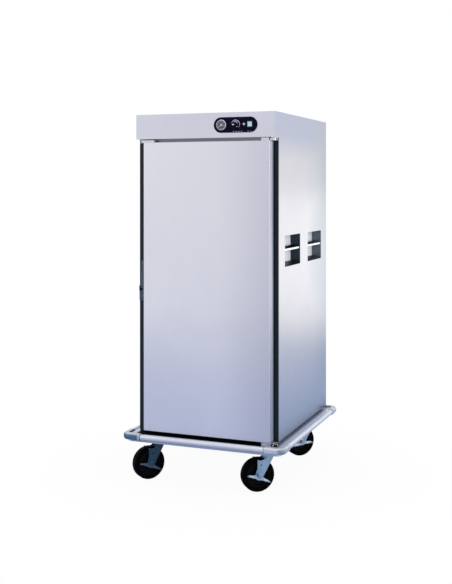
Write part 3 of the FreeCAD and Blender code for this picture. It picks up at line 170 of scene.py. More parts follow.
seen_far.operation = "MULTIPLY"
tree.links.new(fade.outputs["Result"], seen_far.inputs[0])
tree.links.new(light_path_mask(tree, ("Is Camera Ray",)), seen_far.inputs[1])
floor_mix = tree.nodes.new("ShaderNodeMixShader")
tree.links.new(seen_far.outputs[0], floor_mix.inputs["Fac"])
tree.links.new(matte.outputs[0], floor_mix.inputs[1])
tree.links.new(white.outputs[0], floor_mix.inputs[2])
tree.links.new(floor_mix.outputs[0], tree.nodes["Material Output"].inputs["Surface"])
floor_mesh.materials.append(floor_paint)
print("floor:", FLOOR_SIZE, "m square, white from", FADE_END, "m out")

# %% [markdown]
# Sheet metal gets its look from fine parallel scratches left by a belt. The same effect is wanted along the
# height of the doors and panels, along the header, and along the drawn bumper rails, so it is a node group.
# Its vector is stretched in each material: a small scale along the grain and a large one across it.

# %% Shared effects
def effect(name, inputs, outputs):
    """New shader node group with named sockets."""
    group = bpy.data.node_groups.new(name, "ShaderNodeTree")
    for title, kind, value in inputs:
        socket = group.interface.new_socket(name=title, in_out="INPUT", socket_type=kind)
        if value is not None:
            socket.default_value = value
    for title in outputs:
        group.interface.new_socket(name=title, in_out="OUTPUT", socket_type="NodeSocketFloat")
    group.nodes.new("NodeGroupInput")
    group.nodes.new("NodeGroupOutput")
    return group


def add_noise(tree, vector, scale, detail):
    noise = tree.nodes.new("ShaderNodeTexNoise")
    noise.inputs["Scale"].default_value = scale
    noise.inputs["Detail"].default_value = detail
    tree.links.new(vector, noise.inputs["Vector"])
    return noise.outputs["Fac"]


def add_math(tree, operation, a, b):
    node = tree.nodes.new("ShaderNodeMath")
    node.operation = operation
    for socket, value in zip(node.inputs, (a, b)):
        if isinstance(value, (int, float)):
            socket.default_value = value
        else:
            tree.links.new(value, socket)
    return node.outputs[0]


def blend_noise(tree, a, b, share):
    """Weighted sum of two noise values."""
    part_a = add_math(tree, "MULTIPLY", a, share)
    part_b = add_math(tree, "MULTIPLY", b, 1 - share)
    return add_math(tree, "ADD", part_a, part_b)


brushed = effect("brushed_grain", [("Vector", "NodeSocketVector", None)], ["Streak"])
ends = brushed.nodes["Group Input"].outputs["Vector"]
streak = blend_noise(brushed, add_noise(brushed, ends, 1.0, 3.0), add_noise(brushed, ends, 4.0, 2.0), 0.6)
brushed.links.new(streak, brushed.nodes["Group Output"].inputs["Streak"])

SCALED = [("Vector", "NodeSocketVector", None), ("Scale", "NodeSocketFloat", 3.0)]
smudges = effect("smudges", SCALED, ["Smudge"])
source = smudges.nodes["Group Input"]
cloud = smudges.nodes.new("ShaderNodeTexNoise")
cloud.inputs["Detail"].default_value = 4.0
cloud.inputs["Distortion"].default_value = 0.6
smudges.links.new(source.outputs["Vector"], cloud.inputs["Vector"])
smudges.links.new(source.outputs["Scale"], cloud.inputs["Scale"])
smudges.links.new(cloud.outputs["Fac"], smudges.nodes["Group Output"].inputs["Smudge"])

grain = effect("fine_grain", SCALED, ["Grain"])
source = grain.nodes["Group Input"]
speck = grain.nodes.new("ShaderNodeTexNoise")
speck.inputs["Detail"].default_value = 3.0
grain.links.new(source.outputs["Vector"], speck.inputs["Vector"])
grain.links.new(source.outputs["Scale"], speck.inputs["Scale"])
grain.links.new(speck.outputs["Fac"], grain.nodes["Group Output"].inputs["Grain"])
print("effects:", [g.name for g in bpy.data.node_groups])

# %% [markdown]
# A finish is one Principled shader. The helper links an effect to its colour, roughness and bump, so each
# material below only says its two tones, its roughness range and how the grain runs.

# %% Material helpers
def new_finish(name):
    material = bpy.data.materials.new(name)
    material.use_nodes = True
    tree = material.node_tree
    return material, tree, tree.nodes["Principled BSDF"]


def object_vector(tree, scale=(1, 1, 1)):
    place = tree.nodes.new("ShaderNodeTexCoord")
    mapping = tree.nodes.new("ShaderNodeMapping")
    mapping.inputs["Scale"].default_value = scale
    tree.links.new(place.outputs["Object"], mapping.inputs["Vector"])
    return mapping.outputs["Vector"]


def use_effect(tree, group, vector, **values):
    node = tree.nodes.new("ShaderNodeGroup")
    node.node_tree = group
    tree.links.new(vector, node.inputs["Vector"])
    for title, value in values.items():
        node.inputs[title].default_value = value
    return node.outputs[0]


NOISE_LOW, NOISE_HIGH = 0.3, 0.7


def between(tree, value, low, high):
    """Spread a noise value, which seldom leaves its middle range, over low to high."""
    spread = tree.nodes.new("ShaderNodeMapRange")
    spread.inputs["From Min"].default_value = NOISE_LOW
    spread.inputs["From Max"].default_value = NOISE_HIGH
    spread.inputs["To Min"].default_value = low
    spread.inputs["To Max"].default_value = high
    tree.links.new(value, spread.inputs["Value"])
    return spread.outputs["Result"]


def two_tone(tree, value, dark, light):
    mix = tree.nodes.new("ShaderNodeMix")
    mix.data_type = "RGBA"
    mix.inputs["A"].default_value = (*dark, 1)
    mix.inputs["B"].default_value = (*light, 1)
    tree.links.new(between(tree, value, 0.0, 1.0), mix.inputs["Factor"])
    return mix.outputs["Result"]


def bump_from(tree, shader, value, strength, distance):
    bump = tree.nodes.new("ShaderNodeBump")
    bump.inputs["Strength"].default_value = strength
    bump.inputs["Distance"].default_value = distance
    tree.links.new(value, bump.inputs["Height"])
    tree.links.new(bump.outputs["Normal"], shader.inputs["Normal"])


def sheet_metal(name, run, dark, light, rough, bump=0.2, spread=0.6, turn=0.0):
    """Belt-brushed or drawn metal. run is the scale of the grain in X, Y and Z, small where it runs.
    Grain smears a reflection across itself: spread is how much, and turn is 0.25 where it lies level."""
    material, tree, shader = new_finish(name)
    shader.inputs["Metallic"].default_value = 1.0
    shader.inputs["Anisotropic"].default_value = spread
    shader.inputs["Anisotropic Rotation"].default_value = turn
    streak = use_effect(tree, brushed, object_vector(tree, run))
    smudge = use_effect(tree, smudges, object_vector(tree), Scale=2.2)
    mixed = blend_noise(tree, streak, smudge, 0.55)
    tree.links.new(two_tone(tree, mixed, dark, light), shader.inputs["Base Color"])
    tree.links.new(between(tree, mixed, rough[1], rough[0]), shader.inputs["Roughness"])
    bump_from(tree, shader, streak, bump, 0.0002)
    return material


def moulded(name, dark, light, rough, scale=600.0, bump=0.15, metallic=0.0, specular=0.5):
    """Moulded plastic, rubber or a casting: an even skin with a fine grain."""
    material, tree, shader = new_finish(name)
    shader.inputs["Metallic"].default_value = metallic
    shader.inputs["Specular IOR Level"].default_value = specular
    speck = use_effect(tree, grain, object_vector(tree), Scale=scale)
    smudge = use_effect(tree, smudges, object_vector(tree), Scale=9.0)
    tree.links.new(two_tone(tree, smudge, dark, light), shader.inputs["Base Color"])
    tree.links.new(between(tree, smudge, rough[0], rough[1]), shader.inputs["Roughness"])
    bump_from(tree, shader, speck, bump, 0.0003)
    return material


print("finish helpers: sheet_metal and moulded")

# %% [markdown]
# Sheet that gets little light, or lies deep in a pocket, has painted shade: its colour is darker than the
# rest of the same sheet, and a few strips have painted light. That could be a second material on some faces,
# but CAD meshes are loose triangles, so a share from 0 to 1 is worked out in the shader instead, from where a
# face looks and where it lies, and blends in another tone.

# %% Shares of a finish
def share_by(tree, value, start, end):
    """0 up to start, 1 from end, with a soft step between."""
    step = tree.nodes.new("ShaderNodeMapRange")
    step.interpolation_type = "SMOOTHSTEP"
    step.inputs["From Min"].default_value = start
    step.inputs["From Max"].default_value = end
    tree.links.new(value, step.inputs["Value"])
    return step.outputs["Result"]


def shade(material, share, tone):
    """Blend a finish to another tone, by a share from 0 to 1: painted light and shade, and the dark seams."""
    tree = material.node_tree
    base = tree.nodes["Principled BSDF"].inputs["Base Color"]
    mix = tree.nodes.new("ShaderNodeMix")
    mix.data_type = "RGBA"
    mix.inputs["B"].default_value = (*tone, 1)
    tree.links.new(base.links[0].from_socket, mix.inputs["A"])
    tree.links.new(share(tree), mix.inputs["Factor"])
    tree.links.new(mix.outputs["Result"], base)


def normal_on(tree, axis):
    """Where a face looks, in the node's own axes, so that a tone stays with a piece that turns."""
    parts = tree.nodes.new("ShaderNodeSeparateXYZ")
    tree.links.new(tree.nodes.new("ShaderNodeTexCoord").outputs["Normal"], parts.inputs[0])
    return parts.outputs[axis]


def place_on(tree, axis):
    parts = tree.nodes.new("ShaderNodeSeparateXYZ")
    tree.links.new(object_vector(tree), parts.inputs[0])
    return parts.outputs[axis]


def off_middle(tree):
    """How far a point lies from the cart's middle plane."""
    return add_math(tree, "ABSOLUTE", place_on(tree, "X"), 0.0)


def by_place(axis, start, end):
    """Share that grows from a start to an end place on an axis."""
    return lambda tree: share_by(tree, place_on(tree, axis), start, end)


def looks_along(tree, axis):
    """1 on faces that look along an axis, either way."""
    return share_by(tree, add_math(tree, "ABSOLUTE", normal_on(tree, axis), 0.0), 0.6, 0.85)


def inner_side(tree):
    """1 on faces that look to the cart's middle plane, where the light falls off."""
    outward = add_math(tree, "MULTIPLY", normal_on(tree, "X"), place_on(tree, "X"))
    return share_by(tree, outward, -0.02, -0.16)


print("share helpers made")

# %% [markdown]
# The stainless skin is a cool, slightly lavender steel. On the door and panels the grain runs up and down,
# and on the header and the top it runs along. The casters are zinc plated, with a bluer and blotchier skin.
# One steel for all would do on a plain box, but each sheet here has its own grain and meets the light in
# its own way. The tones differ too, as painted light and shade: the side and the header a little darker than
# the door, the rolled edge and the deck much darker, and the pocket steel near white.

# %% Metal finishes
UPRIGHT = (700, 700, 5)
LEVEL = (5, 5, 700)
ACROSS_TOP = (5, 700, 700)
steel_upright = sheet_metal("stainless_upright", UPRIGHT, (0.60, 0.60, 0.68), (0.70, 0.70, 0.77),
                            (0.30, 0.40))
steel_side = sheet_metal("stainless_side", UPRIGHT, (0.57, 0.57, 0.61), (0.67, 0.67, 0.71), (0.30, 0.40))
steel_door = sheet_metal("stainless_door", UPRIGHT, (0.63, 0.63, 0.71), (0.73, 0.73, 0.80), (0.30, 0.40))
# A much darker copy of the door's stainless for its rolled edge: painted shade.
steel_edge = sheet_metal("stainless_edge", UPRIGHT, (0.285, 0.32, 0.37), (0.335, 0.37, 0.425), (0.30, 0.40))
steel_level = sheet_metal("stainless_level", LEVEL, (0.61, 0.60, 0.68), (0.69, 0.69, 0.76), (0.30, 0.40),
                          turn=0.25)
steel_top = sheet_metal("stainless_top", ACROSS_TOP, (0.61, 0.61, 0.68), (0.70, 0.70, 0.76), (0.30, 0.40),
                        spread=0.0)
steel_inner = sheet_metal("stainless_inner", LEVEL, (0.55, 0.55, 0.57), (0.64, 0.64, 0.66), (0.25, 0.36),
                          turn=0.25)
# The deck sheet is a darker, bluer copy of the stainless: painted shade.
steel_deck = sheet_metal("deck_sheet", LEVEL, (0.30, 0.34, 0.47), (0.38, 0.42, 0.55), (0.38, 0.50),
                         spread=0.0)
rail_metal = sheet_metal("drawn_rail", LEVEL, (0.56, 0.58, 0.66), (0.64, 0.66, 0.74), (0.36, 0.48),
                         spread=0.0)
# Near white, far lighter than the other stainless: on the pockets' back walls, which are not metal, this is a
# painted reflection, and on the metal grip bars a painted highlight.
pocket_steel = sheet_metal("pocket_steel", UPRIGHT, (0.92, 0.93, 0.95), (0.97, 0.98, 1.0), (0.36, 0.46))
header_steel = sheet_metal("header_steel", LEVEL, (0.57, 0.57, 0.66), (0.65, 0.65, 0.735), (0.30, 0.40),
                           turn=0.25)
corner_metal = moulded("cast_corner", (0.48, 0.51, 0.58), (0.57, 0.60, 0.66), (0.40, 0.50), 500, 0.2, 1.0)
hinge_metal = moulded("hinge_casting", (0.52, 0.53, 0.58), (0.62, 0.63, 0.68), (0.30, 0.40), 500, 0.1, 1.0)
latch_metal = moulded("latch_casting", (0.055, 0.065, 0.100), (0.085, 0.100, 0.150),
                      (0.35, 0.45), 500, 0.1, 1.0)
zinc = moulded("zinc_plate", (0.20, 0.30, 0.40), (0.33, 0.45, 0.56), (0.32, 0.46), 180, 0.12, 1.0)
brake_metal = moulded("brake_steel", (0.42, 0.48, 0.55), (0.54, 0.60, 0.67), (0.28, 0.40), 260, 0.08, 1.0)
bezel_metal = moulded("bezel", (0.42, 0.42, 0.50), (0.50, 0.50, 0.58), (0.20, 0.30), 200, 0.03, 1.0)
screw_metal = moulded("screw_steel", (0.58, 0.58, 0.62), (0.68, 0.68, 0.72), (0.22, 0.32), 300, 0.05, 1.0)
element_metal = moulded("element_sheath", (0.16, 0.14, 0.13), (0.26, 0.23, 0.22), (0.4, 0.55), 300, 0.1, 1.0)
print("metals made:", len(bpy.data.materials))

# %% [markdown]
# Now the shares, which are mostly painted light and shade. The pockets have painted shade on their ends and
# floors, and the return under the header has painted shade. The corner castings have painted shade at their
# bends and on the left, and dark seams. The sides, the door and its edge have painted light and shade that
# changes slowly with height, and the deck has painted light where it meets the side rails.

# %% Shade the metals
pocket_low, pocket_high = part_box("grip_pockets")
pocket_middle = (pocket_low[1] + pocket_high[1]) / 2
header_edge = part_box("front_frame")[1][2]
GRIP_INNER, GRIP_OUTER = 0.010, 0.006
DECK_NEAR, DECK_FAR = 0.002, 0.028
CORNER_END, SEAM_START, SEAM_END = 0.317, 0.0028, 0.0018
SIDE_HEAD, SIDE_REAR, SIDE_LOWER, SIDE_FOOT = (1.56, 1.72), (0.05, 0.55), (0.80, 0.16), (0.34, 0.18)
DOOR_UPPER, DOOR_HINGE_SIDE, EDGE_UPPER = (0.95, 1.75), (0.02, 0.40), (0.90, 1.40)


def pocket_ends(tree):
    return add_math(tree, "SUBTRACT", 1.0, looks_along(tree, "X"))


def rear_pocket_ends(tree):
    far = share_by(tree, place_on(tree, "Y"), pocket_middle - 0.02, pocket_middle + 0.02)
    return add_math(tree, "MULTIPLY", looks_along(tree, "Y"), far)


def grip_faces(tree):
    """1 on the grip bars, which lie flush with the side panels, and 0 inside the pockets."""
    return share_by(tree, off_middle(tree), pocket_high[0] - GRIP_INNER, pocket_high[0] - GRIP_OUTER)


def corner_bends(tree):
    """1 where a corner casting turns, between its front and its side."""
    both = add_math(tree, "MULTIPLY", normal_on(tree, "X"), normal_on(tree, "Y"))
    return share_by(tree, add_math(tree, "ABSOLUTE", both, 0.0), 0.02, 0.50)


def corner_seams(tree):
    """1 on the last millimetres of a corner casting, where a rail runs into it."""
    return share_by(tree, off_middle(tree), CORNER_END + SEAM_START, CORNER_END + SEAM_END)


def shaded_corners(tree):
    """1 on the upright faces of the two castings at the left, which stand away from the light."""
    left = share_by(tree, place_on(tree, "X"), -CORNER_END, -CORNER_END - 0.02)
    return add_math(tree, "MULTIPLY", left, share_by(tree, normal_on(tree, "Z"), 0.90, 0.50))


def deck_sides(tree):
    """0 beside the side panels, 1 where the deck meets the side rails: painted light, lighter towards the
    rails.
    """
    return share_by(tree, off_middle(tree), pocket_high[0] + DECK_NEAR, pocket_high[0] + DECK_FAR)


# Painted shade on the pockets' ends and floors, a little lighter on the ends of the rear pocket.
shade(pocket_steel, pocket_ends, (0.035, 0.050, 0.060))
shade(pocket_steel, rear_pocket_ends, (0.130, 0.160, 0.185))
# Only the ends, floors and grip bars are metal; the back walls are matt near-white, a painted reflection.
tree = pocket_steel.node_tree
metallic_share = add_math(tree, "MAXIMUM", pocket_ends(tree), grip_faces(tree))
tree.links.new(metallic_share, tree.nodes["Principled BSDF"].inputs["Metallic"])
# Painted shade: the return under the header, seen in the gap above the door, is darker.
shade(header_steel, by_place("Z", header_edge, header_edge - 0.0005), (0.24, 0.24, 0.28))
# Painted light and shade on the side panels: darker at the head, towards the rear and lower down, and much
# darker at the foot.
shade(steel_side, by_place("Z", *SIDE_HEAD), (0.47, 0.50, 0.62))
shade(steel_side, by_place("Y", *SIDE_REAR), (0.46, 0.50, 0.56))
shade(steel_side, by_place("Z", *SIDE_LOWER), (0.36, 0.425, 0.54))
shade(steel_side, by_place("Z", *SIDE_FOOT), (0.21, 0.26, 0.32))
# Painted shade on the door: a little darker towards the top and towards the hinge side.
shade(steel_door, by_place("Z", *DOOR_UPPER), (0.62, 0.62, 0.69))
shade(steel_door, by_place("X", *DOOR_HINGE_SIDE), (0.53, 0.53, 0.62))
# Painted shade: the rolled edge is darker still towards the top.
shade(steel_edge, by_place("Z", *EDGE_UPPER), (0.225, 0.25, 0.30))
shade(steel_deck, deck_sides, (0.74, 0.78, 0.88))
# Painted shade at the bends of the corner castings and on the two castings at the left; the seams are dark
# joints.
shade(corner_metal, corner_bends, (0.22, 0.27, 0.32))
shade(corner_metal, shaded_corners, (0.10, 0.16, 0.23))
shade(corner_metal, corner_seams, (0.12, 0.14, 0.18))
shade(zinc, inner_side, (0.038, 0.078, 0.115))
shade(brake_metal, inner_side, (0.080, 0.120, 0.170))
print("metals shaded")

# %% [markdown]
# The rest is plastic, rubber and paint: the black thermal frame behind the door, the navy control plate,
# the tyres and the small control pieces. Black rubber and matt plastic reflect little, so their specular
# level is low.

# %% Plastic, rubber and paint
frame_black = moulded("frame_black", (0.003, 0.008, 0.013), (0.007, 0.014, 0.021),
                      (0.40, 0.55), 700, 0.1, 0, 0.22)
plate_navy = moulded("plate_navy", (0.0008, 0.0008, 0.010), (0.0018, 0.0018, 0.016),
                     (0.25, 0.35), 900, 0.04, 0, 0.05)
knob_black = moulded("knob_black", (0.001, 0.001, 0.008), (0.002, 0.002, 0.012),
                     (0.30, 0.42), 900, 0.06, 0, 0.08)
switch_black = moulded("switch_black", (0.008, 0.008, 0.010), (0.014, 0.014, 0.018),
                       (0.3, 0.42), 900, 0.08, 0, 0.3)
rubber_seal = moulded("seal_rubber", (0.012, 0.012, 0.014), (0.022, 0.022, 0.025),
                      (0.55, 0.7), 500, 0.15, 0, 0.3)
# Black for the hinge bush and covers, and for the strip under the door, which is painted shade.
black_parts_and_painted_shade = moulded("black_parts_and_painted_shade", (0.001, 0.001, 0.002), (0.002, 0.002, 0.004),
                     (0.6, 0.75), 500, 0.15, 0, 0.05)
tyre_black = moulded("tyre_black", (0.0008, 0.0008, 0.0010), (0.002, 0.002, 0.0025),
                     (0.50, 0.65), 350, 0.25, 0, 0.02)
core_black = moulded("wheel_core", (0.002, 0.002, 0.003), (0.005, 0.005, 0.006),
                     (0.40, 0.55), 500, 0.12, 0, 0.05)
wool = moulded("glass_wool", (0.55, 0.48, 0.25), (0.68, 0.62, 0.38), (0.8, 0.95), 120, 0.5)
dial_grey = moulded("dial_grey", (0.26, 0.25, 0.36), (0.32, 0.31, 0.42), (0.35, 0.45), 800, 0.03)
dial_dark = moulded("dial_dark", (0.004, 0.004, 0.016), (0.008, 0.008, 0.026), (0.4, 0.5), 900, 0.02, 0, 0.2)
needle_pale = moulded("needle_pale", (0.75, 0.75, 0.80), (0.85, 0.85, 0.90), (0.3, 0.4), 800, 0.03)
rocker_blue = moulded("rocker_blue", (0.50, 0.68, 0.80), (0.58, 0.75, 0.86), (0.15, 0.25), 900, 0.04)
lamp_amber = moulded("lamp_amber", (0.62, 0.50, 0.42), (0.74, 0.62, 0.54), (0.1, 0.18), 900, 0.02)
# White ink for the print, also used for the painted highlights on the knob's skirt.
white_ink_and_painted_highlight = moulded("white_ink_and_painted_highlight", (0.55, 0.55, 0.68), (0.66, 0.66, 0.78), (0.5, 0.6), 900, 0.02)
ink_dim = moulded("ink_dim", (0.07, 0.07, 0.11), (0.10, 0.10, 0.15), (0.5, 0.6), 900, 0.02)

lens_glass, tree, shader = new_finish("lens_glass")
shader.inputs["Transmission Weight"].default_value = 1.0
shader.inputs["IOR"].default_value = 1.45
film = use_effect(tree, smudges, object_vector(tree), Scale=40.0)
tree.links.new(between(tree, film, 0.01, 0.06), shader.inputs["Roughness"])
tree.links.new(two_tone(tree, film, (0.96, 0.97, 1.0), (1.0, 1.0, 1.0)), shader.inputs["Base Color"])
print("materials:", len(bpy.data.materials))

# %% [markdown]
# Each CAD node keeps its own mesh and takes one finish. The nodes could be dressed one by one, but listed
# under the finish they wear, they show at a glance which pieces are cut from the same sheet.

# %% Finish the CAD nodes
CORNERS = ("front_left", "front_right", "rear_left", "rear_right")
FINISHES = [
    (steel_upright, ["rear_panel", "door_liner"]),
    (steel_door, ["door_skin"]),
    (steel_side, ["left_side_panel", "right_side_panel"]),
    (pocket_steel, ["grip_pockets"]),
    (header_steel, ["header_fascia"]),
    (steel_level, ["bottom_panel"]),
    (steel_top, ["top_panel"]),
    (steel_inner, ["inner_liner", "heater_cover", "water_pan", "rack_posts", "pan_runners"]),
    (steel_deck, ["deck_tray", "caster_channels"]),
    (rail_metal, ["bumper_rails"]),
    (corner_metal, ["bumper_corners"]),
    (hinge_metal, ["hinge_brackets", "hinge_leaves", "latch_strike"]),
    (latch_metal, ["latch_base", "latch_lever"]),
    (bezel_metal, ["thermometer_case"]),
    (element_metal, ["heating_element"]),
    (frame_black, ["front_frame"]),
    (plate_navy, ["control_plate"]),
    (knob_black, ["thermostat_knob"]),
    (switch_black, ["switch_frame", "thermostat_body", "cable_gland"]),
    (rubber_seal, ["door_gasket"]),
    (wool, ["insulation", "door_core"]),
    (dial_grey, ["thermometer_dial"]),
    (needle_pale, ["thermometer_needle"]),
    (rocker_blue, ["switch_rocker"]),
    (lamp_amber, ["pilot_lamp"]),
    (lens_glass, ["thermometer_lens"]),
    (zinc, ["caster_plates"] + [c + part for c in CORNERS for part in ("_fork", "_axle")]),
    (tyre_black, [c + "_tyre" for c in CORNERS]),
    (core_black, [c + "_wheel_core" for c in CORNERS]),
    (brake_metal, [c + "_brake_lever" for c in CORNERS]),
]
finished = set()
for material, names in FINISHES:
    for name in names:
        nodes[name].data.materials.clear()
        nodes[name].data.materials.append(material)
        finished.add(name)
print("finished", len(finished), "of", len(nodes), "nodes")

# %% [markdown]
# The added pieces are small turned, pressed or printed things. A turned one could be spun from a profile,
# but a screw has a cross in its head and a bolt has a hexagon, so these are stacks of rings, each bridged
# to the next. All of them are made in a local frame whose +Z points out of the surface, and then set in
# place.

# %% Piece helpers
RING_STEPS = 24


def ring(bm, radius, height, shape=None):
    """Circle of edges round Z. shape gives the radius for an angle, so a ring can be a hexagon or a cross."""
    verts = bmesh.ops.create_circle(bm, segments=RING_STEPS, radius=radius)["verts"]
    if shape:
        for vert in verts:
            vert.co *= shape(math.atan2(vert.co.y, vert.co.x), radius) / radius
    bmesh.ops.translate(bm, vec=(0, 0, height), verts=verts)
    return verts, list({edge for vert in verts for edge in vert.link_edges})


def hexagonal(angle, flats):
    """Radius of a hexagon at an angle, from half its width across flats."""
    return flats / math.cos((angle + math.pi / 6) % (math.pi / 3) - math.pi / 6)


def crossed(angle, reach):
    """Radius of a plus shape at an angle, with arms a third as wide as they are long."""
    off = abs((angle + math.pi / 4) % (math.pi / 2) - math.pi / 4)
    return min(reach / math.cos(off), reach / 3 / max(math.sin(off), 1e-6))


def stack(bm, rings, place):
    """Bridge each ring to the next, fill both ends, and set the result in place."""
    loops = [edges for verts, edges in rings]
    for low, high in zip(loops, loops[1:]):
        bmesh.ops.bridge_loops(bm, edges=low + high)
    for end in (loops[0], loops[-1]):
        bmesh.ops.edgeloop_fill(bm, edges=end)
    bmesh.ops.transform(bm, matrix=place, verts=[vert for verts, edges in rings for vert in verts])


def raise_outline(bm, outline, height, place):
    """Face from a closed outline in the local XY plane, extruded along local Z and set in place."""
    foot = [bm.verts.new((x, y, 0)) for x, y in outline]
    extruded = bmesh.ops.extrude_face_region(bm, geom=[bm.faces.new(foot)])["geom"]
    top = [item for item in extruded if isinstance(item, bmesh.types.BMVert)]
    bmesh.ops.translate(bm, vec=(0, 0, height), verts=top)
    bmesh.ops.transform(bm, matrix=place, verts=foot + top)


def facing(point, direction):
    """Place a local frame at a point with its +Z along a direction."""
    return Matrix.Translation(point) @ Vector(direction).to_track_quat("Z", "Y").to_matrix().to_4x4()


def piece(name, bm, body, material):
    """Turn a bmesh into a named piece that rides on a body."""
    bmesh.ops.recalc_face_normals(bm, faces=bm.faces)
    for face in bm.faces:
        face.smooth = True
    for edge in bm.edges:
        edge.smooth = edge.calc_face_angle(0.0) < math.radians(35)
    mesh = bpy.data.meshes.new(name)
    bm.to_mesh(mesh)
    bm.free()
    mesh.materials.append(material)
    obj = bpy.data.objects.new(name, mesh)
    bpy.context.scene.collection.objects.link(obj)
    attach(obj, body)
    return obj


print("piece helpers: stacks of rings and raised outlines")

# %% [markdown]
# A pan-head screw is a dome with a cross recess. A bolt is a chamfered hexagon on a washer. A bump map
# could draw them, but their edges catch the light at close range, so they are real shapes with few faces.

# %% Screw and bolt heads
FRONT, BACK, RIGHT, DOWN = (0, -1, 0), (0, 1, 0), (1, 0, 0), (0, 0, -1)


def add_screw(bm, point, direction, radius):
    """Pan-head screw: rim, domed top and a cross recess."""
    h = radius * 0.55
    rings = [ring(bm, radius, 0), ring(bm, radius, h * 0.45), ring(bm, radius * 0.86, h * 0.8),
             ring(bm, radius * 0.62, h), ring(bm, radius * 0.46, h, crossed),
             ring(bm, radius * 0.36, h * 0.35, crossed)]
    stack(bm, rings, facing(point, direction))


def add_bolt(bm, point, direction, flats, height):
    """Hexagon head with chamfered corners on a washer."""
    half = flats / 2
    washer = height * 0.25
    rings = [ring(bm, half * 1.35, 0), ring(bm, half * 1.35, washer), ring(bm, half, washer, hexagonal),
             ring(bm, half, height * 0.85, hexagonal), ring(bm, half * 0.97, height)]
    stack(bm, rings, facing(point, direction))


print("screw and bolt heads:", RING_STEPS, "steps round")

# %% [markdown]
# The rear panel is screwed on all round, so it comes off for service. The screws of the latch, the lower
# hinge and the strike are fewer and are placed from the box of the piece they hold. Each screw could be an
# object of its own, but those that ride on one body and wear one finish are added to one mesh.

# %% Screws
def spaced(start, end, count):
    """Values from start to end, in equal steps."""
    return [start + (end - start) * i / (count - 1) for i in range(count)]


REAR_COLUMNS, REAR_ROWS, REAR_EDGE, REAR_SCREW = 6, 10, 0.014, 0.0042
low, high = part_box("rear_panel")
bm = bmesh.new()
columns = spaced(low[0] + REAR_EDGE, high[0] - REAR_EDGE, REAR_COLUMNS)
rows = spaced(low[2] + REAR_EDGE, high[2] - REAR_EDGE, REAR_ROWS)
rear_points = [(x, z) for x in (columns[0], columns[-1]) for z in rows]
rear_points += [(x, z) for x in columns[1:-1] for z in (rows[0], rows[-1])]
for x, z in rear_points:
    add_screw(bm, (x, high[1], z), BACK, REAR_SCREW)
piece("rear_panel_screws", bm, "cabinet", screw_metal)

LATCH_ROWS, LATCH_SCREW = (0.011, 0.037), 0.0045
low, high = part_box("latch_base")
bm = bmesh.new()
for row in LATCH_ROWS:
    add_screw(bm, ((low[0] + high[0]) / 2, low[1], low[2] + row), FRONT, LATCH_SCREW)
piece("latch_screws", bm, "door", latch_metal)

COVER_THICK, COVER_COLUMN, COVER_ROW = 0.0012, 0.0115, 0.0065
BRACKET_COLUMN, BRACKET_ROW = 0.014, 0.0075
hinge_low, hinge_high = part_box("hinge_brackets")
cover_row = hinge_low[2] + COVER_ROW
bm = bmesh.new()
add_screw(bm, (hinge_high[0] - COVER_COLUMN, hinge_low[1] - COVER_THICK, cover_row), FRONT, 0.0038)
add_screw(bm, (hinge_high[0] + COVER_THICK, (hinge_low[1] + hinge_high[1]) / 2, cover_row), RIGHT, 0.0044)
add_screw(bm, (hinge_low[0] + BRACKET_COLUMN, hinge_low[1], hinge_low[2] + BRACKET_ROW), FRONT, 0.0040)
piece("hinge_screws", bm, "cabinet", screw_metal)

STRIKE_PLATE, STRIKE_EDGE, STRIKE_SCREW = 0.003, 0.008, 0.0035
low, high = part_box("latch_strike")
bm = bmesh.new()
for z in (low[2] + STRIKE_EDGE, high[2] - STRIKE_EDGE):
    add_screw(bm, ((low[0] + high[0]) / 2, high[1] - STRIKE_PLATE, z), FRONT, STRIKE_SCREW)
piece("strike_screws", bm, "cabinet", screw_metal)
print("screws:", len(rear_points), "in the rear panel and 7 others")

# %% [markdown]
# Four bolts hold each caster plate under its channel. They stand on the plate's lower face and look down. One
# head could be copied as an object, but loops over the casters and the corners place all sixteen in a mesh.

# %% Caster bolts
plate_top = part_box("caster_plates")[1][2]
PLATE_THICK = 0.005
BOLT_X, BOLT_Y, BOLT_FLATS, BOLT_HEIGHT = 0.042, 0.032, 0.013, 0.006
KING_PIN_X, KING_PIN_FRONT, KING_PIN_REAR = 0.289, -0.3225, 0.3475
bm = bmesh.new()
for x in (-KING_PIN_X, KING_PIN_X):
    for y in (KING_PIN_FRONT, KING_PIN_REAR):
        for i in (-1, 1):
            for j in (-1, 1):
                point = (x + i * BOLT_X, y + j * BOLT_Y, plate_top - PLATE_THICK)
                add_bolt(bm, point, DOWN, BOLT_FLATS, BOLT_HEIGHT)
piece("caster_bolts", bm, "cabinet", screw_metal)
print("caster bolts made")

# %% [markdown]
# The door's skin is rolled over at its hinge side into a bead that catches the light. A bevel on the skin
# would change the CAD piece, so the bead is its own strip: an outline with a long rise and a short return,
# extruded upwards.

# %% Rolled edge of the door
door_low, door_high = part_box("door_skin")
bm = bmesh.new()
EDGE_BULGE, EDGE_BACK, EDGE_SHORT, EDGE_SUNK = 0.0076, 0.004, 0.004, 0.001
EDGE_FRONT, EDGE_REAR = 0.0085, 0.0015
ROLL_STEPS, ROLL_EASE = 6, 0.9
edge_front, edge_rear = door_low[1] + EDGE_FRONT, door_high[1] - EDGE_REAR
crest = edge_rear - EDGE_BACK
inside = door_high[0] - EDGE_SUNK
outline = [(inside, edge_rear), (inside, edge_front), (door_high[0], edge_front)]
for i in range(1, ROLL_STEPS + 1):
    rise = math.sin(math.pi / 2 * (i / ROLL_STEPS) ** ROLL_EASE)
    outline.append((door_high[0] + EDGE_BULGE * rise, edge_front + (crest - edge_front) * i / ROLL_STEPS))
for i in range(1, ROLL_STEPS + 1):
    turn = math.pi / 2 * i / ROLL_STEPS
    outline.append((door_high[0] + EDGE_BULGE * math.cos(turn), crest + EDGE_BACK * math.sin(turn)))
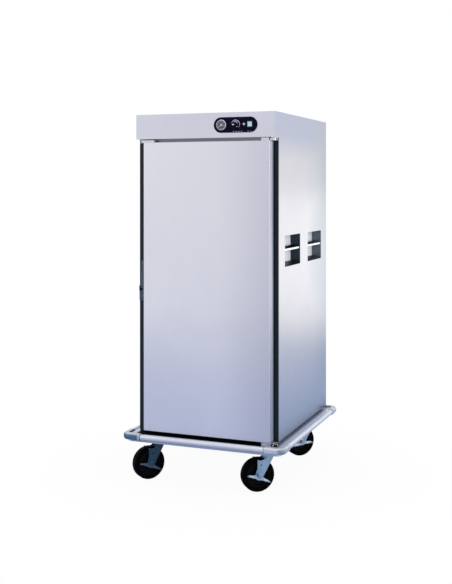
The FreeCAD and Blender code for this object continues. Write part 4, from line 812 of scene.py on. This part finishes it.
raise_outline(bm, outline, door_high[2] - door_low[2] - 2 * EDGE_SHORT,
              Matrix.Translation((0, 0, door_low[2] + EDGE_SHORT)))
# The bead wears the darker edge steel, which is painted shade.
piece("door_rolled_edge", bm, "door", steel_edge)
print("rolled edge:", len(outline), "points in its outline")

# %% [markdown]
# Small plates finish the hinges: a pad and a bush on the upper leaf, and two covers on the lower bracket.
# Each could be an extruded outline too, but a cube with eased edges says the same with less.

# %% Hinge plates
def slab(name, corner, opposite, round_edge, body, material):
    """Plate between two corners, with eased edges."""
    low, high = Vector(corner), Vector(opposite)
    bm = bmesh.new()
    fit = Matrix.Translation((low + high) / 2) @ Matrix.Diagonal(high - low).to_4x4()
    bmesh.ops.create_cube(bm, size=1.0, matrix=fit)
    bmesh.ops.bevel(bm, geom=bm.edges[:], offset=round_edge, affect="EDGES", segments=2, profile=0.5,
                    material=-1)
    piece(name, bm, body, material)


leaf_low, leaf_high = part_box("hinge_leaves")
PAD_INNER, PAD_OUTER, PAD_RISE, PAD_INSET, PAD_SUNK, PAD_EASE = 0.043, 0.006, 0.004, 0.001, 0.0005, 0.0006
pad_top = leaf_high[2] + PAD_RISE
slab("hinge_pad", (door_high[0] - PAD_INNER, leaf_low[1] + PAD_INSET, leaf_high[2] - PAD_SUNK),
     (door_high[0] - PAD_OUTER, leaf_high[1] - PAD_INSET, pad_top), PAD_EASE,
     "door", hinge_metal)
BUSH_INNER, BUSH_OUTER, BUSH_DROP, BUSH_PROUD, BUSH_SHORT = 0.0052, 0.0014, 0.0098, 0.0006, 0.002
BUSH_EASE = 0.0004
slab("hinge_bush", (door_high[0] - BUSH_INNER, leaf_low[1] - BUSH_PROUD, leaf_high[2] - BUSH_DROP),
     (door_high[0] - BUSH_OUTER, leaf_high[1] - BUSH_SHORT, pad_top), BUSH_EASE,
     "door", black_parts_and_painted_shade)
COVER_FOOT, COVER_HEAD, COVER_LONG, COVER_SUNK, COVER_GAP = 0.0004, 0.0124, 0.0225, 0.001, 0.0004
PLATE_EASE = 0.0005
cover_foot, cover_head = hinge_low[2] + COVER_FOOT, hinge_low[2] + COVER_HEAD
slab("hinge_cover", (hinge_high[0] - COVER_LONG, hinge_low[1] - COVER_THICK, cover_foot),
     (hinge_high[0] - COVER_GAP, hinge_low[1] + COVER_SUNK, cover_head), PLATE_EASE,
     "cabinet", black_parts_and_painted_shade)
slab("hinge_side_cover", (hinge_high[0] - COVER_SUNK, hinge_low[1] - COVER_GAP, cover_foot),
     (hinge_high[0] + COVER_THICK, hinge_high[1], cover_head), PLATE_EASE, "cabinet", black_parts_and_painted_shade)
print("hinge plates made")

# %% [markdown]
# Under the door lies a black strip on the deck, with a black riser behind it up to the frame: both are
# painted shade for the dark gap under the door. The frame's two lips wrap a little way round the sides. They
# are plates as well, made with the same helper.

# %% Sill and frame lips
deck_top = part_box("deck_tray")[1][2]
frame_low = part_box("front_frame")[0]
SILL_GAP, SILL_FRONT, SILL_REAR, SILL_THICK = 0.002, 0.010, 0.030, 0.0015
sill_end = hinge_low[0] - SILL_GAP
# Painted shade: the black strip and its riser stand for the dark gap under the door.
slab("door_sill_painted_shade", (frame_low[0] + SILL_GAP, door_low[1] - SILL_FRONT, deck_top),
     (sill_end, door_high[1] + SILL_REAR, deck_top + SILL_THICK), PLATE_EASE,
     "cabinet", black_parts_and_painted_shade)
RISER_PROUD, RISER_SUNK, RISER_LAP = 0.002, 0.001, 0.003
slab("sill_riser_painted_shade", (frame_low[0], frame_low[1] - RISER_PROUD, deck_top),
     (sill_end, frame_low[1] + RISER_SUNK, frame_low[2] + RISER_LAP), PLATE_EASE,
     "cabinet", frame_black)
panel_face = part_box("right_side_panel")[1][0]
LIP_DEPTH, LIP_THICK, LIP_WRAP, LIP_EASE = 0.0085, 0.0006, 0.002, 0.0002
for end, face in (("left", -panel_face), ("right", panel_face)):
    inner, outer = face - math.copysign(LIP_WRAP, face), face + math.copysign(LIP_THICK, face)
    slab("frame_lip_" + end, (min(inner, outer), frame_low[1] - LIP_THICK, frame_low[2]),
         (max(inner, outer), frame_low[1] + LIP_DEPTH, header_edge), LIP_EASE,
         "cabinet", frame_black)
print("sill, riser and two lips made")

# %% [markdown]
# Printing is a thin skin on the surface. An image would do, but it blurs close up. Here arcs and bars are
# outlines in the plane of the panel, raised by a tenth of a millimetre. Numbers are text that becomes a
# mesh before it is placed.

# %% Print helpers
INK = 0.0001
control_low, control_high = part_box("control_plate")
PLATE_CENTRE = Vector(((control_low[0] + control_high[0]) / 2, control_low[1],
                       (control_low[2] + control_high[2]) / 2))


def print_shape(bm, outline, place):
    """Printed shape: an outline raised by the ink's thickness."""
    raise_outline(bm, outline, INK, place)


def polar(radius, degrees):
    return radius * math.cos(math.radians(degrees)), radius * math.sin(math.radians(degrees))


def arc_outline(start, end, inner, outer, steps=28):
    """Band between two radii."""
    turns = spaced(start, end, steps + 1)
    return [polar(outer, turn) for turn in turns] + [polar(inner, turn) for turn in reversed(turns)]


def crescent_outline(start, end, inner, thin, thick, steps=40):
    """Band that is thin at both ends and thick in the middle."""
    turns = spaced(start, end, steps + 1)
    outer = [polar(inner + thin + (thick - thin) * math.sin(math.pi * i / steps), turn)
             for i, turn in enumerate(turns)]
    return outer + [polar(inner, turn) for turn in reversed(turns)]


def print_text(bm, text, height, x, y, place):
    """Centred text, converted to a mesh and laid in the local XY plane."""
    curve = bpy.data.curves.new("text_source", "FONT")
    curve.body = text
    curve.size = height * 1.4
    curve.align_x = "CENTER"
    curve.align_y = "CENTER"
    curve.extrude = INK / 2
    source = bpy.data.objects.new("text_source", curve)
    mesh = bpy.data.meshes.new_from_object(source)
    mesh.transform(place @ Matrix.Translation((x, y, INK / 2)))
    bm.from_mesh(mesh)
    bpy.data.meshes.remove(mesh)
    bpy.data.objects.remove(source)
    bpy.data.curves.remove(curve)


def on_plate(x, z, lift=0.0):
    """Local frame on the control plate, at an offset from its centre, facing the front."""
    return Matrix.Translation(PLATE_CENTRE + Vector((x, -lift, z))) @ Matrix.Rotation(math.pi / 2, 4, "X")


print("plate centre:", [round(v, 4) for v in PLATE_CENTRE])

# %% [markdown]
# The thermometer's dial has a pale rim with ticks, and a ring of dark fields with pale numbers. The fields
# and ticks are arcs set out by angle, so one loop makes them all. A hub and a turned cap cover the root of
# the needle.

# %% Thermometer dial
dial_low, dial_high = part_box("thermometer_dial")
DIAL_X = (dial_low[0] + dial_high[0]) / 2 - PLATE_CENTRE.x
dial_lift = PLATE_CENTRE.y - dial_low[1]
on_dial = on_plate(DIAL_X, 0, dial_lift)
FIELDS, FIELD_HALF, FIELD_INNER, FIELD_OUTER = 8, 18, 0.0056, 0.0172
FIELD_STEP = 360 / FIELDS
TICKS, TICK_START, TICK_END, TICK_HALF = 49, 236, -56, 0.8
TICK_LONG, TICK_SHORT, TICK_RIM, LONG_EVERY = 0.0184, 0.0192, 0.0206, 8
NUMBER_START, NUMBER_RING, NUMBER_HEIGHT = 247.5, 0.0116, 0.0026
HUB_RADIUS = 0.0052
NEEDLE_CAP = [(0.0026, 0), (0.0026, 0.0004), (0.0020, 0.0008), (0.0008, 0.0010)]

bm = bmesh.new()
for i in range(FIELDS):
    middle = 90 + FIELD_STEP * (i + 0.5)
    field = arc_outline(middle - FIELD_HALF, middle + FIELD_HALF, FIELD_INNER, FIELD_OUTER, 10)
    print_shape(bm, field, on_dial)
for i, angle in enumerate(spaced(TICK_START, TICK_END, TICKS)):
    inner = TICK_LONG if i % LONG_EVERY == 0 else TICK_SHORT
    print_shape(bm, arc_outline(angle - TICK_HALF, angle + TICK_HALF, inner, TICK_RIM, 1), on_dial)
piece("dial_fields", bm, "cabinet", dial_dark)

bm = bmesh.new()
above_fields = on_plate(DIAL_X, 0, dial_lift + INK)
for i, number in enumerate(("0", "20", "40", "60", "80", "100", "120")):
    x, y = polar(NUMBER_RING, NUMBER_START - FIELD_STEP * i)
    print_text(bm, number, NUMBER_HEIGHT, x, y, above_fields)
piece("dial_numbers", bm, "cabinet", white_ink_and_painted_highlight)

bm = bmesh.new()
print_shape(bm, [polar(HUB_RADIUS, 360 * i / RING_STEPS) for i in range(RING_STEPS)], on_dial)
piece("dial_hub", bm, "cabinet", needle_pale)

needle_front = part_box("thermometer_needle")[0][1]
bm = bmesh.new()
cap = [ring(bm, radius, height) for radius, height in NEEDLE_CAP]
stack(bm, cap, on_plate(DIAL_X, 0, PLATE_CENTRE.y - needle_front))
piece("needle_cap", bm, "thermometer_needle", needle_pale)
print("dial:", FIELDS, "fields,", TICKS, "ticks")

# %% [markdown]
# Round the knob runs a tapering scale with ticks and numbers. A row of short bars runs along the foot of
# the plate, from the knob to the switch, and the switch has its two words. All of it is print on the plate.

# %% Knob scale and plate print
knob_low, knob_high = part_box("thermostat_knob")
KNOB_X = (knob_low[0] + knob_high[0]) / 2 - PLATE_CENTRE.x
on_scale = on_plate(KNOB_X, 0)
SCALE_START, SCALE_END = 158, -38
BAND_INNER, BAND_THIN, BAND_THICK = 0.0206, 0.0008, 0.0034
MARK_HALF, MARK_INNER, MARK_OUTER = 1.0, 0.0250, 0.0262
SCALE_RING, SCALE_HEIGHT = 0.0284, 0.0024

bm = bmesh.new()
numbers = ("30", "50", "70", "90", "110")
for number, angle in zip(numbers, spaced(SCALE_START, SCALE_END, len(numbers))):
    mark = arc_outline(angle - MARK_HALF, angle + MARK_HALF, MARK_INNER, MARK_OUTER, 1)
    print_shape(bm, mark, on_scale)
    x, y = polar(SCALE_RING, angle)
    print_text(bm, number, SCALE_HEIGHT, x, y, on_scale)
piece("scale_numbers", bm, "cabinet", ink_dim)

bm = bmesh.new()
print_shape(bm, crescent_outline(SCALE_START, SCALE_END, BAND_INNER, BAND_THIN, BAND_THICK), on_scale)
switch_low, switch_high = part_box("switch_frame")
SWITCH_X = (switch_low[0] + switch_high[0]) / 2 - PLATE_CENTRE.x
WORD_HEIGHT, WORD_ROW = 0.0030, 0.0052
foot = control_low[2] - PLATE_CENTRE.z + WORD_ROW
for word, shift in (("ON", -0.0075), ("OFF", 0.0065)):
    print_text(bm, word, WORD_HEIGHT, SWITCH_X + shift, foot, on_plate(0, 0))
BARS, BAR_START, BAR_PITCH, BAR_HALF, BAR_RISE = 4, -0.008, 0.0135, 0.0034, 0.0009
for i in range(BARS):
    x = KNOB_X + BAR_START + BAR_PITCH * i
    print_shape(bm, [(x - BAR_HALF, foot - BAR_RISE), (x + BAR_HALF, foot - BAR_RISE),
                     (x + BAR_HALF, foot + BAR_RISE), (x - BAR_HALF, foot + BAR_RISE)], on_plate(0, 0))
piece("plate_print", bm, "cabinet", white_ink_and_painted_highlight)
print("plate print:", len(numbers), "scale numbers, two words and", BARS, "bars")

# %% [markdown]
# The knob has a pale cap on its bar and two pale arcs on its skirt; the arcs are painted highlights on the
# skirt's edge. They could be a texture, but that needs a map of the knob's surface, and raised outlines need
# none. They ride on the knob's body, so they turn with it.

# %% Knob cap and painted highlights
bm = bmesh.new()
bar_front = PLATE_CENTRE.y - knob_low[1]
KNOB_STEP = 0.016
CAP_LONG, CAP_SHORT, CAP_OFF = 0.0056, 0.0031, 0.003
turns = [2 * math.pi * i / RING_STEPS for i in range(RING_STEPS)]
cap = [(CAP_LONG * math.cos(turn) - CAP_OFF, CAP_SHORT * math.sin(turn)) for turn in turns]
print_shape(bm, cap, on_plate(KNOB_X, 0, bar_front))
on_skirt = on_plate(KNOB_X, 0, bar_front - KNOB_STEP)
SKIRT_INNER, SKIRT_OUTER = 0.0132, 0.0160
# Painted highlights: two pale arcs where the skirt's edge catches the light.
for start, end in ((112, 26), (-26, -52)):
    print_shape(bm, arc_outline(start, end, SKIRT_INNER, SKIRT_OUTER, 16), on_skirt)
piece("knob_cap_and_painted_highlights", bm, "thermostat_knob", white_ink_and_painted_highlight)
print("knob marks made")

# %% [markdown]
# A turned black ring holds the lamp. It is a real turned part, so its section is drawn once and spun round
# the axis.

# %% Lamp ring
lamp_low, lamp_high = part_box("pilot_lamp")
LAMP_X = (lamp_low[0] + lamp_high[0]) / 2 - PLATE_CENTRE.x
LAMP_Z = (lamp_low[2] + lamp_high[2]) / 2 - PLATE_CENTRE.z
bm = bmesh.new()
profile = [(0.0092, 0), (0.0092, 0.0018), (0.0084, 0.0026), (0.0062, 0.0026),
           (0.0057, 0.0022), (0.0057, 0.0015), (0.0072, 0.0015), (0.0072, 0)]
points = [bm.verts.new((radius, 0, height)) for radius, height in profile]
sides = [bm.edges.new(pair) for pair in zip(points, points[1:] + points[:1])]
bmesh.ops.spin(bm, geom=points + sides, cent=(0, 0, 0), axis=(0, 0, 1), angle=2 * math.pi, steps=32,
               use_merge=True)
bmesh.ops.remove_doubles(bm, verts=bm.verts[:], dist=1e-6)
bmesh.ops.transform(bm, matrix=on_plate(LAMP_X, LAMP_Z), verts=bm.verts[:])
piece("lamp_ring", bm, "cabinet", switch_black)
print("lamp ring:", len(profile), "points in its section")
